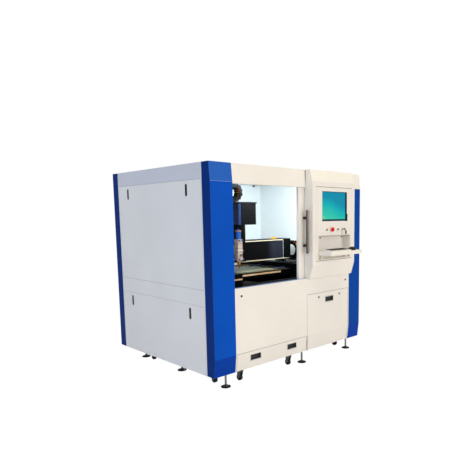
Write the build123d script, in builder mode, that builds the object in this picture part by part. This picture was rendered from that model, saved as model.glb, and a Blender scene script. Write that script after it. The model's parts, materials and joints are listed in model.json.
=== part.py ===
"""Fibre laser cutting machine: an enclosed gantry machine with a sliding door and an operator console.

Millimetres, +Z up, X to the operator's right, the front faces -Y. The origin is on the floor under
the middle of the machine. Places are given as distances from the left side plane, from the front
plane and from the floor, and across() and back() turn the first two into X and Y.
"""

import math
import os

from build123d import *

os.makedirs("parts", exist_ok=True)

# Overall body
body_width = 1980
body_depth = 1625
body_height = 1900
floor_gap = 136
skin = 2
seam = 3

# Columns and their facets
column_left_width = 226
column_right_width = 190
column_side = 110
column_return = 18
rear_column_side = 104
rear_column_width = 190
facet_top = 15
facet_bottom = 18
joint_line = 2

# Heights of the front
cart_front_top = 291
band_bottom = 702
sill_height = 863
opening_top = 1734
cap_joint = 1747

# Front divisions, from the left side plane
trim = 12
trim_fold = 6
pan_fold = 4
band_lock_left = 71
band_lock_right = 60
band_lock_drop = 70
lower_joint = 1128
console_left = 1115
console_gap = 20

# Side panels
side_strip = 12
side_upper_top = 1768
side_upper_bottom = 862
side_lower_top = 725
panel_fold = 18
seat_gap = 0.3
seat_flange = 12

# Welded frame
tube = 50
frame_inset = 75
runner_inset = 40
foot_left = 183
foot_middle = 1151
foot_right_inset = 109
foot_front = 100
foot_rear_inset = 175
bench_height = 690
cross_front = 400
cross_rear_inset = 375
cart_tie_rise = 12
bracket = 15
bracket_height = 60
bracket_levels = (420, 1200)
bracket_setback = 10

# Levelling feet
pad_radius = 42.5
pad_height = 10
stem_radius = 9
neck_flare = 6
neck_rise = 8
stem_rise = 12
nut_width = 30
nut_height = 14
nut_drop = 26

# Corner casters
caster_front = 258
caster_rear_inset = 335
wheel_radius = 30
wheel_width = 26
wheel_lift = 2
axle_radius = 4
axle_clearance = 0.05
fork_plate = 4
fork_gap = 2
fork_length = 60
fork_toe = 13
fork_drop = 12
caster_plate_width = 64
caster_plate_length = 80
tread = 7
tread_round = 2
tread_crown = 4
web_recess = 5
hub_rim = 4

# Sliding door and its tracks
door_rest = 1030
door_width = 930
door_thickness = 25
door_front = 20.5
door_bottom = 855
door_top = 1768
door_stile = 110
door_top_rail = 120
door_bottom_rail = 170
door_slide = 815
window_glass = 5
glass_seat = 12
track_thickness = 8
slide_clearance = 2
track_rib = 4
track_rib_height = 12
track_groove = 5
track_lead = 47
track_setback = 0.5
channel_gap = 3
channel_depth = 20
rail_clearance = 0.4
handle_x = 66
handle_reach = 33
handle_radius = 12
handle_bottom = 1109
handle_top = 1521
post_radius = 7
post_foot_radius = 12.5
post_foot_height = 5
handle_edge = 1.5
handle_post_bottom = 1185
handle_post_top = 1447

# Cutting chamber
liner_left = 130
liner_right = 1850
liner_front = 128
liner_back = 1450
liner_bottom = 700

# Machine bed and rails
bed_left = 280
bed_right = 1700
bed_front = 220
bed_tail = 60
bed_beam = 220
bed_top = 950
bed_cross = 120
bed_cross_top = 830
rail_width = 30
rail_height = 26
rail_inset = 70
rail_end = 30
rail_waist = 0.7
bed_cross_rise = 40
shelf_wall = 10
shelf_drop = 20
shelf_setback = 200
shelf_bracket = 6
shelf_plate = 4
shelf_skirt = 60

# Gantry
gantry_left = 320
gantry_right = 1660
gantry_front = 740
gantry_depth = 180
gantry_bottom = 990
gantry_top = 1215
end_box = 120
beam_front = 790
guide_clearance = 0.5
guide_length = 140
guide_width = 70
guide_lift = 6
guide_setback = 10
x_rail_low = 1035
x_rail_high = 1170
x_rail_width = 22
x_rail_height = 20
bellows_front = 738
bellows_depth = 26
pleat = 14
strip_setback = 4
strip_height = 10
strip_drop = 6
pleat_low = 12
bellows_gap = 1
gantry_back_travel = 450
gantry_front_travel = 100

# Carriage, Z axis and head
carriage_left = 720
carriage_width = 230
carriage_front = 700
carriage_plate = 32
carriage_bottom = 1000
carriage_block_inset = 55
carriage_block_width = 90
carriage_block_height = 50
carriage_block_gap = 2
spine_inset = 10
spine_setback = 20
cover_round = 5
cover_left = 735
cover_width = 160
cover_bottom = 1385
cover_top = 1606
cover_front = 500
cover_depth = 85
motor_width = 36
motor_fins = 9
motor_setback = 4
fin_depth = 8
fin_share = 0.62
head_x = 785
head_y = 615
head_width = 62
head_bottom = 1030
head_top = 1240
head_round = 9
flange_reach = 5
flange_low = 16
flange_rise = 92
flange_high = 6
arm_width = 44
arm_low = 60
arm_high = 150
gauge_height = 55
gauge_radius = 17
gauge_depth = 8
screw_radius = 6
foot_screw_offset = 24
top_screw_offset = 20
top_screw_drop = 14
connector_radius = 25
connector_top = 1345
ring_radius = 28
ring_height = 10
boot_height = 16
boot_radius = 14
boot_tip = 10
nozzle_standoff = 5
nozzle_radius = 4
nozzle_bore = 1.5
nozzle_shoulder = 8
nozzle_taper = 12
sensor_radius = 24
sensor_height = 22
sensor_bevel = 6
ceramic_radius = 17
ceramic_height = 14
slide_width = 150
slide_plate = 28
slide_bottom = 1040
slide_top = 1310
slide_inset = 40
slide_gap = 0.5
carriage_right_travel = 480
head_down_travel = 42

# Cable chains
chain_thickness = 44
chain_plate = 4
chain_width = 84
chain_radius = 68
chain_lower_width = 66
chain_lower_radius = 85
chain_turns = 5
chain_clearance = 30
chain_post = 40
chain_post_inset = 20
chain_post_setback = 80
chain_arm = 10
chain_first = 22
chain_bracket_inset = 60
bracket_rise = 60
chain_spare = 30
chain_margin = 10
chain_rear_end = 30
tray_overhang = 20
tray_thickness = 12
link_bar = 4
link_bar_inset = 3
link_bar_share = 0.42

# Cutting table
table_left = 500
table_right = 1480
table_front = 555
table_rear = 1290
table_rail = 45
table_bar = 12
table_top = 896
slat_pitch = 60
slat_thickness = 3
slat_height = 40
tooth_pitch = 40
tooth_depth = 10
sheet_left = 655
sheet_right = 1310
sheet_front = 600
sheet_rear = 1110
sheet_thickness = 4
clamp_inset = 61
clamp_gap = 6
clamp_length = 24
clamp_width = 44
clamp_arm = 24
clamp_height = 16
clamp_edge = 5

# Console
console_reach = 84
console_end_reach = 46
console_low_bend = 988
console_high_bend = 1791
face_left = 1166
face_right = 1726
face_bottom = 1030
face_top = 1743
lip = 10
screen_left = 1255
screen_width = 387
screen_bottom = 1414
screen_height = 287
screen_recess = 12
monitor_depth = 45
monitor_flange = 14
bezel = 4
bezel_right = 14
control_height = 1332
estop_x = 1393
grey_button_x = 1317
green_button_x = 1490
key_x = 1560
estop_stem = 11
estop_head = 21
estop_cap = 14
estop_travel = 7
estop_round = 6
button_stem = 9
button_cap = 1.5
button_travel = 4
key_stem = 8
key_proud = 2
key_plate = 3
key_shank = 10
key_bow = 24
key_length = 40
stem_sink = 6
collar_radius = 15
collar_height = 6
stem_clearance = 0.05
recess_left = 1200
recess_right = 1695
recess_bottom = 1045
recess_top = 1274
recess_depth = 92
back_opening_margin = 20
recess_strip_inset = 95
recess_strip_end = 8
recess_strip_depth = 6
recess_strip_height = 26
recess_strip_bottom = 1236
strip_lock_inset = 26
strip_lock_radius = 8

# Keyboard flap
flap_gap = 3
flap_reach = 167
flap_thickness = 37
flap_bottom = 1088
flap_corner = 30
flap_pocket = 6
flap_rim = 8
flap_edge = 4
keyboard_inset = 34
keyboard_width = 300
keyboard_setback = 24
keyboard_depth = 116
keyboard_low = 10
keyboard_high = 22
key_rows = 5
key_margin = 9
key_gap = 2
key_rise = 5
mouse_inset = 98
mouse_setback = 62
mouse_half_length = 54
mouse_half_width = 32
mouse_skirt = 12
mouse_shoulder = 28
mouse_height = 37
mouse_shoulder_share = 0.77
mouse_top_share = 0.4
knob_inset_left = 64
knob_inset_right = 82
knob_reach = 44
knob_radius = 11
knob_height = 14
hinge_drop = 8
pin_radius = 3
eye_radius = 8
eye_leg = 12
eye_width = 30
eye_inset = 40
eye_clearance = 2

# Slag cart
cart_depth = 700
cart_wall = 2
cart_floor = 150
cart_side_gap = 14
cart_edge = 5
cart_lip = 20
guide_gap = 0.3
guide_bar = 6
guide_rise = 10
pull_width = 122
pull_height = 50
pull_depth = 22
pull_frame = 5
pull_proud = 2
cart_pull_inset = 211
cart_pull_height = 233
cart_caster_inset = 131
cart_caster_front = 122
caster_trail = 18
swivel_gap = 0.3

# Lower right door
door_pull_x = 1464
door_pull_height = 623
lock_radius = 10
lock_proud = 2
lock_slot_width = 2
lock_slot_length = 9
lock_height = 656
lock_offset = 163

# Side panel latches
latch_width = 36
latch_length = 108
latch_depth = 14
latch_front = 333
latch_rear_inset = 297
latch_drop = 26
lever_gap = 2
lever_thickness = 7
lever_button = 10
lever_sink = 1
latch_pin = 2

# Rear side
spigot_radius = 75
spigot_reach = 60
spigot_height = 1650
louvre_width = 260
louvre_height = 8
louvre_pitch = 22
louvre_rows = 9
louvre_inset = 330
louvre_base = 150

# Laser source in the lower cabinet
source_width = 430
source_depth = 620
source_height = 330
source_front = 200
source_rail_height = 10
source_rail_width = 30
source_rail_inset = 40
grip_inset = 30
grip_bar = 12
grip_reach = 25
grip_low = 110
grip_high = 210

# How far the machine reaches in front of its front plane sets where that plane lies
flap_front = console_reach + flap_reach
front_y = (flap_front - body_depth - spigot_reach) / 2

console_right = body_width - column_right_width - console_gap
right_column_left = body_width - column_right_width
foot_right = body_width - foot_right_inset
frame_bottom = floor_gap + 4
roof_bottom = body_height - skin
foot_lines = (foot_left, foot_middle, foot_right)
panel_left = column_left_width + trim
cart_left = panel_left + seam
cart_right = lower_joint - seam / 2 - seam
tray_left = cart_left + cart_edge
tray_right = foot_middle - tube / 2 - cart_side_gap
gantry_back = gantry_front + gantry_depth
bed_rear = gantry_back + gantry_back_travel + bed_tail
nozzle_tip = table_top + sheet_thickness + nozzle_standoff + head_down_travel
chain_run = carriage_right_travel / 2 + chain_margin
chain_lower_end = gantry_back - chain_bracket_inset
chain_lower_bend_y = chain_lower_end - gantry_front_travel / 2 - chain_spare


def across(distance):
    """X of a place that many millimetres from the left side plane."""
    return distance - body_width / 2


def back(distance):
    """Y of a place that many millimetres behind the front plane."""
    return front_y + distance


def block(x0, x1, y0, y1, z0, z1, mode=Mode.ADD):
    """A block between two places across, two places back and two heights."""
    with Locations((across((x0 + x1) / 2), back((y0 + y1) / 2), (z0 + z1) / 2)):
        Box(x1 - x0, y1 - y0, z1 - z0, mode=mode)


def side_prism(points, x0, x1, mode=Mode.ADD):
    """A side profile of (back, height) points carried from x0 to x1."""
    with BuildSketch(Plane.YZ.offset(across(x0))) as outline:
        with BuildLine():
            Polyline(*[(back(y), z) for y, z in points], close=True)
        make_face()
    extrude(outline.sketch, amount=x1 - x0, mode=mode)


def face_setback(z):
    """How far the front face lies behind the front plane at a height."""
    if z < cart_front_top:
        return facet_bottom * (cart_front_top - z) / (cart_front_top - floor_gap)
    if z > cap_joint:
        return facet_top * (z - cap_joint) / (body_height - cap_joint)
    return 0


def front_profile(z0, z1, inset, rear):
    """Side profile of the front between two heights, set in by a wall, back to a rear plane."""
    heights = [z0]
    heights += [z for z in (cart_front_top, cap_joint) if z0 < z < z1]
    heights.append(z1)
    points = [(face_setback(z) + inset, z) for z in heights]
    return points + [(rear, z1), (rear, z0)]


def front_pan(x0, x1, z0, z1, fold):
    """A folded front panel: its face and its four returns."""
    side_prism(front_profile(z0, z1, 0, facet_bottom + fold), x0, x1)
    inner = front_profile(z0 + skin, z1 - skin, skin, facet_bottom + fold + 1)
    side_prism(inner, x0 + skin, x1 - skin, Mode.SUBTRACT)


def save(piece, label):
    piece.part.label = label
    export_step(piece.part, f"parts/{label}.step")


def save_group(solids, label):
    """Several solids that belong to one weldment, each kept whole."""
    group = Compound(solids)
    group.label = label
    export_step(group, f"parts/{label}.step")


# Welded tube frame: runners over the feet, posts, rings and the bench under the bed. Each tube is cut to
# butt against its neighbours and is a solid of its own.
half_tube = tube / 2
frame_front = frame_inset + tube
frame_rear = body_depth - tube
rear_post = frame_rear - tube
frame_left = foot_left - half_tube
frame_right = foot_right + half_tube
cross_rear = body_depth - cross_rear_inset
runner_top = frame_bottom + tube
bench_low = bench_height - tube
top_low = roof_bottom - tube
cart_tie = cart_front_top + cart_tie_rise
guide_base = cart_floor + guide_rise
frame_members = []


def frame_member(x0, x1, y0, y1, z0, z1):
    with BuildPart() as member:
        block(x0, x1, y0, y1, z0, z1)
    frame_members.append(member.part.solid())


def between_posts(lines, y, z):
    """Tubes across the machine from each line of posts to the next."""
    for start, end in zip(lines, lines[1:]):
        frame_member(start + half_tube, end - half_tube, y, y + tube, z, z + tube)


for x in foot_lines:
    frame_member(
        x - half_tube, x + half_tube, runner_inset, body_depth - runner_inset, frame_bottom, runner_top,
    )
    for y in (frame_inset, rear_post):
        frame_member(x - half_tube, x + half_tube, y, y + tube, runner_top, roof_bottom)
    frame_member(x - half_tube, x + half_tube, frame_front, rear_post, top_low, roof_bottom)
for x in (foot_left, foot_right):
    frame_member(x - half_tube, x + half_tube, frame_front, rear_post, bench_low, bench_height)
for y in (frame_inset, rear_post):
    between_posts(foot_lines, y, top_low)
    between_posts(foot_lines, y, bench_low)
for y in (cross_front, cross_rear):
    between_posts((foot_left, foot_right), y - half_tube, bench_low)
between_posts(foot_lines, rear_post, frame_bottom)
between_posts((foot_middle, foot_right), frame_inset, frame_bottom)
between_posts((foot_left, foot_middle), frame_inset, cart_tie)
for x0, x1 in (
    (foot_left + half_tube, tray_left - guide_gap),
    (tray_right + guide_gap, foot_middle - half_tube),
):
    frame_member(x0, x1, frame_front, cart_depth, guide_base, guide_base + guide_bar)
for z in bracket_levels:
    for y in (frame_inset + bracket_setback, frame_rear - half_tube):
        frame_member(skin, frame_left, y, y + bracket, z, z + bracket_height)
        frame_member(frame_right, body_width - skin, y, y + bracket, z, z + bracket_height)
save_group(frame_members, "base_frame")

# Levelling feet: pad, neck and threaded stem in one turned form, with a lock nut
foot_rows = (foot_front, (foot_front + body_depth - foot_rear_inset) / 2, body_depth - foot_rear_inset)
neck_radius = stem_radius + neck_flare
with BuildPart() as levelling_feet:
    for x in foot_lines:
        for y in foot_rows:
            with BuildSketch(Plane.XZ.offset(-back(y))):
                with BuildLine():
                    Polyline(
                        (across(x), 0),
                        (across(x) + pad_radius, 0),
                        (across(x) + pad_radius, pad_height * 0.6),
                        (across(x) + pad_radius * 0.8, pad_height),
                        (across(x) + neck_radius, pad_height + neck_rise),
                        (across(x) + stem_radius, pad_height + stem_rise),
                        (across(x) + stem_radius, frame_bottom),
                        (across(x), frame_bottom),
                        close=True,
                    )
                make_face()
            revolve(axis=Axis((across(x), back(y), 0), (0, 0, 1)))
            with BuildSketch(Plane.XY.offset(frame_bottom - nut_drop)):
                with Locations((across(x), back(y))):
                    RegularPolygon(nut_width / 2, 6, major_radius=False)
            extrude(amount=nut_height)
save(levelling_feet, "levelling_feet")


def fork(x, y, top, axle_height, axle_back):
    """Two tapered cheeks joined by a bridge, with the axle across them."""
    half = wheel_width / 2 + fork_gap
    for side in (-1, 1):
        start = across(x) + side * half - (fork_plate if side < 0 else 0)
        with BuildSketch(Plane.YZ.offset(start)) as outline:
            with BuildLine():
                Polyline(
                    (back(y) - fork_length / 2, top),
                    (back(y) + fork_length / 2, top),
                    (back(y + axle_back) + fork_toe, axle_height),
                    (back(y + axle_back), axle_height - fork_drop),
                    (back(y + axle_back) - fork_toe, axle_height),
                    close=True,
                )
            make_face()
        extrude(outline.sketch, amount=fork_plate)
    with Locations((across(x), back(y), top - fork_plate / 2)):
        Box(2 * half + 2 * fork_plate, fork_length, fork_plate)
    with BuildSketch(Plane.YZ.offset(across(x) - half - fork_plate)) as outline:
        with Locations((back(y + axle_back), axle_height)):
            Circle(axle_radius)
    extrude(outline.sketch, amount=2 * (half + fork_plate))


def wheel(x, y, axle_height):
    """A wheel with a crowned tread, a recessed web and a hub round its axle."""
    bore = axle_radius + axle_clearance
    rim = wheel_radius - tread
    side = wheel_width / 2
    web = side - web_recess
    half_profile = [
        (side, bore),
        (side, bore + hub_rim),
        (web, bore + hub_rim + tread_round),
        (web, rim),
        (side, rim + tread_round),
        (side, wheel_radius - tread_round),
        (side - tread_crown, wheel_radius),
    ]
    profile = half_profile + [(-reach, radius) for reach, radius in reversed(half_profile)]
    with BuildSketch(Plane.XY.offset(axle_height)) as outline:
        with BuildLine():
            Polyline(*[(across(x) + reach, back(y) + radius) for reach, radius in profile], close=True)
        make_face()
    revolve(outline.sketch, axis=Axis((across(x), back(y), axle_height), (1, 0, 0)))


# Four corner casters with fixed forks under the outer runners
wheel_axle = wheel_lift + wheel_radius
caster_rows = (caster_front, body_depth - caster_rear_inset)
caster_places = [(x, y) for y in caster_rows for x in (foot_left, foot_right)]
with BuildPart() as caster_forks:
    for x, y in caster_places:
        fork(x, y, frame_bottom - fork_plate, wheel_axle, 0)
        block(
            x - caster_plate_width / 2, x + caster_plate_width / 2,
            y - caster_plate_length / 2, y + caster_plate_length / 2,
            frame_bottom - fork_plate, frame_bottom,
        )
save(caster_forks, "caster_forks")

for number, (x, y) in enumerate(caster_places, start=1):
    with BuildPart() as caster_wheel:
        wheel(x, y, wheel_axle)
    save(caster_wheel, f"caster_wheel_{number}")

# Blue front columns: folded skins with a sloping foot and, on the left, a sloping cap above a joint line
with BuildPart() as column_front_left:
    side_prism(front_profile(floor_gap, body_height, 0, column_side), 0, column_left_width)
    hollow = front_profile(floor_gap - 1, roof_bottom, skin, column_side + 1)
    side_prism(hollow, skin, column_left_width - skin, Mode.SUBTRACT)
    block(
        column_left_width - skin, column_left_width, column_return, column_side,
        floor_gap, roof_bottom, Mode.SUBTRACT,
    )
    block(
        0, column_left_width, -1, skin / 2,
        cap_joint - joint_line / 2, cap_joint + joint_line / 2, Mode.SUBTRACT,
    )
save(column_front_left, "column_front_left")

blue_top = cap_joint - joint_line / 2
cap_bottom = cap_joint + joint_line / 2
with BuildPart() as column_front_right:
    side_prism(front_profile(floor_gap, blue_top, 0, column_side), right_column_left, body_width)
    hollow = front_profile(floor_gap - 1, blue_top - skin, skin, column_side + 1)
    side_prism(hollow, right_column_left + skin, body_width - skin, Mode.SUBTRACT)
    block(
        right_column_left, right_column_left + skin, column_return, column_side,
        floor_gap, blue_top - skin, Mode.SUBTRACT,
    )
    block(
        right_column_left, body_width - column_return, column_return, column_side,
        blue_top - skin, blue_top, Mode.SUBTRACT,
    )
save(column_front_right, "column_front_right")

with BuildPart() as column_cap_right:
    side_prism(front_profile(blue_top, body_height, 0, column_side), right_column_left, body_width)
    hollow = front_profile(blue_top - 1, roof_bottom, skin, column_side + 1)
    side_prism(hollow, right_column_left + skin, body_width - skin, Mode.SUBTRACT)
    block(
        right_column_left, right_column_left + skin, column_return, column_side,
        blue_top, roof_bottom, Mode.SUBTRACT,
    )
    block(
        right_column_left, body_width, -1, skin / 2, blue_top - 1, cap_bottom, Mode.SUBTRACT,
    )
save(column_cap_right, "column_cap_right")

# Rear columns: three-sided skins, open towards the inside
with BuildPart() as columns_rear:
    rear_start = body_depth - rear_column_side
    for x0, x1, wall in (
        (0, rear_column_width, 0),
        (body_width - rear_column_width, body_width, 1),
    ):
        block(x0, x1, rear_start, body_depth, floor_gap, body_height)
        inner0 = x0 + (skin if wall == 0 else -1)
        inner1 = x1 + (1 if wall == 0 else -skin)
        block(inner0, inner1, rear_start - 1, body_depth - skin, floor_gap - 1, roof_bottom, Mode.SUBTRACT)
save(columns_rear, "columns_rear")

# Roof sheet between the side planes, with a tongue between the rear columns
with BuildPart() as roof_panel:
    block(0, body_width, column_side, body_depth - rear_column_side, roof_bottom, body_height)
    block(
        rear_column_width, body_width - rear_column_width,
        body_depth - rear_column_side, body_depth, roof_bottom, body_height,
    )
save(roof_panel, "roof_panel")

# Header over the opening: a folded face that leans back above the joint, its foot and its top return
with BuildPart() as header:
    side_prism(front_profile(opening_top, body_height, 0, column_side), column_left_width, right_column_left)
    hollow = front_profile(opening_top + skin, roof_bottom, skin, column_side + 1)
    side_prism(hollow, column_left_width - 1, right_column_left + 1, Mode.SUBTRACT)
    block(
        column_left_width, right_column_left, column_return, column_side,
        opening_top, opening_top + skin, Mode.SUBTRACT,
    )
save(header, "header")

def lock_stud(x, z):
    """A round cam lock, proud of the face, with its key slot."""
    with BuildSketch(Plane.XZ.offset(-back(0))) as outline:
        with Locations((across(x), z)):
            Circle(lock_radius)
            Rectangle(lock_slot_width, lock_slot_length, mode=Mode.SUBTRACT)
    extrude(outline.sketch, amount=lock_proud)


# Front frame: the band under the opening, the shelf that carries the door track, and the trim strips
shelf_height = door_bottom - track_thickness - slide_clearance
with BuildPart() as front_frame:
    block(column_left_width, right_column_left, 0, column_return, band_bottom, sill_height)
    block(
        column_left_width + skin, right_column_left - skin, skin, column_return - skin,
        band_bottom + skin, sill_height - skin, Mode.SUBTRACT,
    )
    block(
        column_left_width + skin, right_column_left - skin, column_return - skin - 1, column_return + 1,
        band_bottom + skin, shelf_height - skin, Mode.SUBTRACT,
    )
    block(
        column_left_width, right_column_left, column_return - skin, frame_inset,
        shelf_height - skin, shelf_height,
    )
    for x in (column_left_width, right_column_left - trim):
        side_prism(front_profile(floor_gap, band_bottom, 0, facet_bottom + trim_fold), x, x + trim)
    block(
        right_column_left - trim - seat_flange, right_column_left - trim,
        facet_bottom + pan_fold + seat_gap, facet_bottom + trim_fold, floor_gap, band_bottom,
    )
    for x in (column_left_width + band_lock_left, right_column_left - band_lock_right):
        lock_stud(x, sill_height - band_lock_drop)
save(front_frame, "front_frame")

# Lower front panel, between the trim strip and the lower door
with BuildPart() as lower_front_panel:
    front_pan(panel_left, lower_joint - seam / 2, cart_front_top + seam / 2, band_bottom, pan_fold)
save(lower_front_panel, "lower_front_panel")


def pull_cut(x, z):
    """Cuts the mouth of a recessed pull through a front panel."""
    block(
        x - pull_width / 2, x + pull_width / 2, -1, facet_bottom + skin,
        z - pull_height / 2, z + pull_height / 2, Mode.SUBTRACT,
    )


def pull_cup(x, z, setback):
    """A recessed pull: a raised frame round a cup that is open to the front."""
    w = pull_width / 2
    h = pull_height / 2
    block(
        x - w - pull_frame, x + w + pull_frame, setback - pull_proud, setback,
        z - h - pull_frame, z + h + pull_frame,
    )
    block(x - w, x + w, setback, setback + pull_depth, z - h, z + h)
    block(
        x - w + skin, x + w - skin, setback - pull_proud - 1, setback + pull_depth - skin,
        z - h + skin, z + h - skin, Mode.SUBTRACT,
    )


# Lower right service door: a folded pan with a recessed pull and two cam locks
lower_door_left = lower_joint + seam / 2
lower_door_right = right_column_left - trim - seam
lower_door_top = band_bottom - seam
lower_door_bottom = floor_gap + seam
with BuildPart() as lower_door:
    front_pan(lower_door_left, lower_door_right, lower_door_bottom, lower_door_top, pan_fold)
    pull_cut(door_pull_x, door_pull_height)
    pull_cup(door_pull_x, door_pull_height, 0)
    for side in (-1, 1):
        lock_stud(door_pull_x + side * lock_offset, lock_height)
save(lower_door, "lower_door")

# Slag cart: a leaning front with two recessed pulls on a wheeled tray
cart_top = cart_front_top - seam / 2
cart_pulls = (cart_left + cart_pull_inset, cart_right - cart_pull_inset)
pull_setback = face_setback(cart_pull_height)
tray_front = facet_bottom + pull_depth + trim_fold
with BuildPart() as slag_cart:
    front_pan(cart_left, cart_right, floor_gap + seam, cart_top, pan_fold)
    for x in cart_pulls:
        pull_cut(x, cart_pull_height)
        pull_cup(x, cart_pull_height, pull_setback)
    block(
        tray_left, tray_right, facet_bottom + pan_fold, tray_front + cart_wall,
        cart_floor, cart_top - cart_lip,
    )
    block(tray_left, tray_right, tray_front, cart_depth, cart_floor, cart_top - cart_lip)
    block(
        tray_left + cart_wall, tray_right - cart_wall, tray_front + cart_wall, cart_depth - cart_wall,
        cart_floor + cart_wall, cart_top, Mode.SUBTRACT,
    )
    for x in cart_pulls:
        block(
            x - pull_width / 2 + skin, x + pull_width / 2 - skin,
            pull_setback - pull_proud - 1, pull_setback + pull_depth - skin,
            cart_pull_height - pull_height / 2 + skin, cart_pull_height + pull_height / 2 - skin,
            Mode.SUBTRACT,
        )
save(slag_cart, "slag_cart")

# Swivel casters under the front of the cart
cart_caster_x = (cart_left + cart_caster_inset, cart_right - cart_caster_inset)
cart_fork_top = cart_floor - swivel_gap
for name, x in zip(("left", "right"), cart_caster_x):
    with BuildPart() as cart_fork:
        fork(x, cart_caster_front, cart_fork_top, wheel_axle, caster_trail)
    save(cart_fork, f"cart_fork_{name}")
    with BuildPart() as cart_wheel:
        wheel(x, cart_caster_front + caster_trail, wheel_axle)
    save(cart_wheel, f"cart_wheel_{name}")

# Side frames: the bands above and between the service panels, with rims round both openings
side_start = column_side
side_end = body_depth - rear_column_side
panel_start = side_start + side_strip
panel_end = side_end - side_strip
upper_opening = (side_upper_bottom, side_upper_top)
lower_opening = (floor_gap - 1, side_lower_top)


def side_plate(outer, inner, y0, y1, z0, z1, mode=Mode.ADD):
    """A block between two places measured inwards from a side plane, on the left or mirrored."""
    block(min(outer, inner), max(outer, inner), y0, y1, z0, z1, mode)


def side_frame(edge, inward):
    """One side frame, from its side plane towards the inside of the machine."""
    side_plate(edge, edge + inward * skin, side_start, side_end, floor_gap, roof_bottom)
    seat = edge + inward * (panel_fold + seat_gap)
    back_face = seat + inward * skin
    for z0, z1 in (upper_opening, lower_opening):
        low = max(z0 - skin, floor_gap)
        side_plate(edge, back_face, panel_start - skin, panel_end + skin, low, z1 + skin)
    for z0, z1 in (upper_opening, lower_opening):
        side_plate(edge - inward, seat, panel_start, panel_end, z0, z1, Mode.SUBTRACT)
        side_plate(
            edge, back_face + inward, panel_start + seat_flange, panel_end - seat_flange,
            z0 + (seat_flange if z0 > floor_gap else 0), z1 - seat_flange, Mode.SUBTRACT,
        )


with BuildPart() as side_frames:
    side_frame(0, 1)
    side_frame(body_width, -1)
save(side_frames, "side_frames")


def side_pan(edge, inward, z0, z1):
    """A service panel folded back on all four sides."""
    y0 = panel_start + seam / 2
    y1 = panel_end - seam / 2
    side_plate(edge, edge + inward * panel_fold, y0, y1, z0, z1)
    far = edge + inward * (panel_fold + 1)
    side_plate(edge + inward * skin, far, y0 + skin, y1 - skin, z0 + skin, z1 - skin, Mode.SUBTRACT)


def slot_prism(y, z, width, length, x0, x1, mode=Mode.ADD):
    """An upright rounded slot on the left side, carried from x0 to x1."""
    with BuildSketch(Plane.YZ.offset(across(x0))) as outline:
        with Locations((back(y), z)):
            SlotOverall(length, width, rotation=90)
    extrude(outline.sketch, amount=x1 - x0, mode=mode)


upper_panel = (side_upper_bottom + seam / 2, side_upper_top - seam / 2)
lower_panel = (floor_gap, side_lower_top - seam / 2)
latch_rows = (latch_front, body_depth - latch_rear_inset)


def latch_middle(panel):
    return panel[1] - latch_drop - latch_length / 2


def latched_panel(panel):
    """A left service panel with the cups of its two latches and the bores of their pins."""
    side_pan(0, 1, *panel)
    z = latch_middle(panel)
    for y in latch_rows:
        slot_prism(y, z, latch_width, latch_length, 0, latch_depth + skin)
        slot_prism(
            y, z, latch_width - 2 * skin, latch_length - 2 * skin, -1, latch_depth, Mode.SUBTRACT
        )
        with BuildSketch(Plane.XZ.offset(-back(y - latch_width / 2 - 1))) as outline:
            with Locations((across(lever_sink + lever_thickness / 2), z + latch_length / 2 - latch_width / 2)):
                Circle(latch_pin + stem_clearance)
        extrude(outline.sketch, amount=-(latch_width + 2), mode=Mode.SUBTRACT)


def latch_lever(panel, y):
    """A press latch lever: a rounded plate, its button and the pin it swings on."""
    z = latch_middle(panel)
    width = latch_width - 2 * skin - 2 * lever_gap
    length = latch_length - 2 * skin - 2 * lever_gap
    slot_prism(y, z, width, length, lever_sink, lever_sink + lever_thickness)
    with BuildSketch(Plane.YZ.offset(across(lever_sink))) as outline:
        with Locations((back(y), z - length / 2 + width / 2)):
            Circle(lever_button)
    extrude(outline.sketch, amount=-lever_sink)
    with BuildSketch(Plane.XZ.offset(-back(y - latch_width / 2))) as outline:
        with Locations((across(lever_sink + lever_thickness / 2), z + latch_length / 2 - latch_width / 2)):
            Circle(latch_pin)
    extrude(outline.sketch, amount=-latch_width)


with BuildPart() as side_panel_left_upper:
    latched_panel(upper_panel)
save(side_panel_left_upper, "side_panel_left_upper")

with BuildPart() as side_panel_left_lower:
    latched_panel(lower_panel)
save(side_panel_left_lower, "side_panel_left_lower")

for level, panel in (("upper", upper_panel), ("lower", lower_panel)):
    for place, y in zip(("front", "rear"), latch_rows):
        with BuildPart() as lever:
            latch_lever(panel, y)
        save(lever, f"latch_{level}_{place}")

with BuildPart() as side_panels_right:
    side_pan(body_width, -1, *upper_panel)
    side_pan(body_width, -1, *lower_panel)
save(side_panels_right, "side_panels_right")

# Rear panels: an upper one with the fume spigot and a lower one with louvres
rear_left = rear_column_width
rear_right = body_width - rear_column_width
spigot_x = body_width / 2


def rear_pan(z0, z1):
    block(rear_left, rear_right, body_depth - panel_fold, body_depth, z0, z1)
    block(
        rear_left + skin, rear_right - skin, body_depth - panel_fold - 1, body_depth - skin,
        z0 + skin, z1 - skin, Mode.SUBTRACT,
    )


with BuildPart() as rear_panels:
    rear_pan(floor_gap, side_upper_bottom - seam)
    rear_pan(side_upper_bottom, roof_bottom)
    for x in (rear_left + louvre_inset, rear_right - louvre_inset):
        for row in range(louvre_rows):
            z = floor_gap + louvre_base + row * louvre_pitch
            block(
                x - louvre_width / 2, x + louvre_width / 2, body_depth - skin - 1, body_depth + 1,
                z, z + louvre_height, Mode.SUBTRACT,
            )
    with BuildSketch(Plane.XZ.offset(-back(body_depth - skin))):
        with Locations((across(spigot_x), spigot_height)):
            Circle(spigot_radius)
    extrude(amount=-(spigot_reach + skin))
    with BuildSketch(Plane.XZ.offset(-back(body_depth - skin - 1))):
        with Locations((across(spigot_x), spigot_height)):
            Circle(spigot_radius - skin)
    extrude(amount=-(spigot_reach + 2 * skin), mode=Mode.SUBTRACT)
save(rear_panels, "rear_panels")

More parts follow.
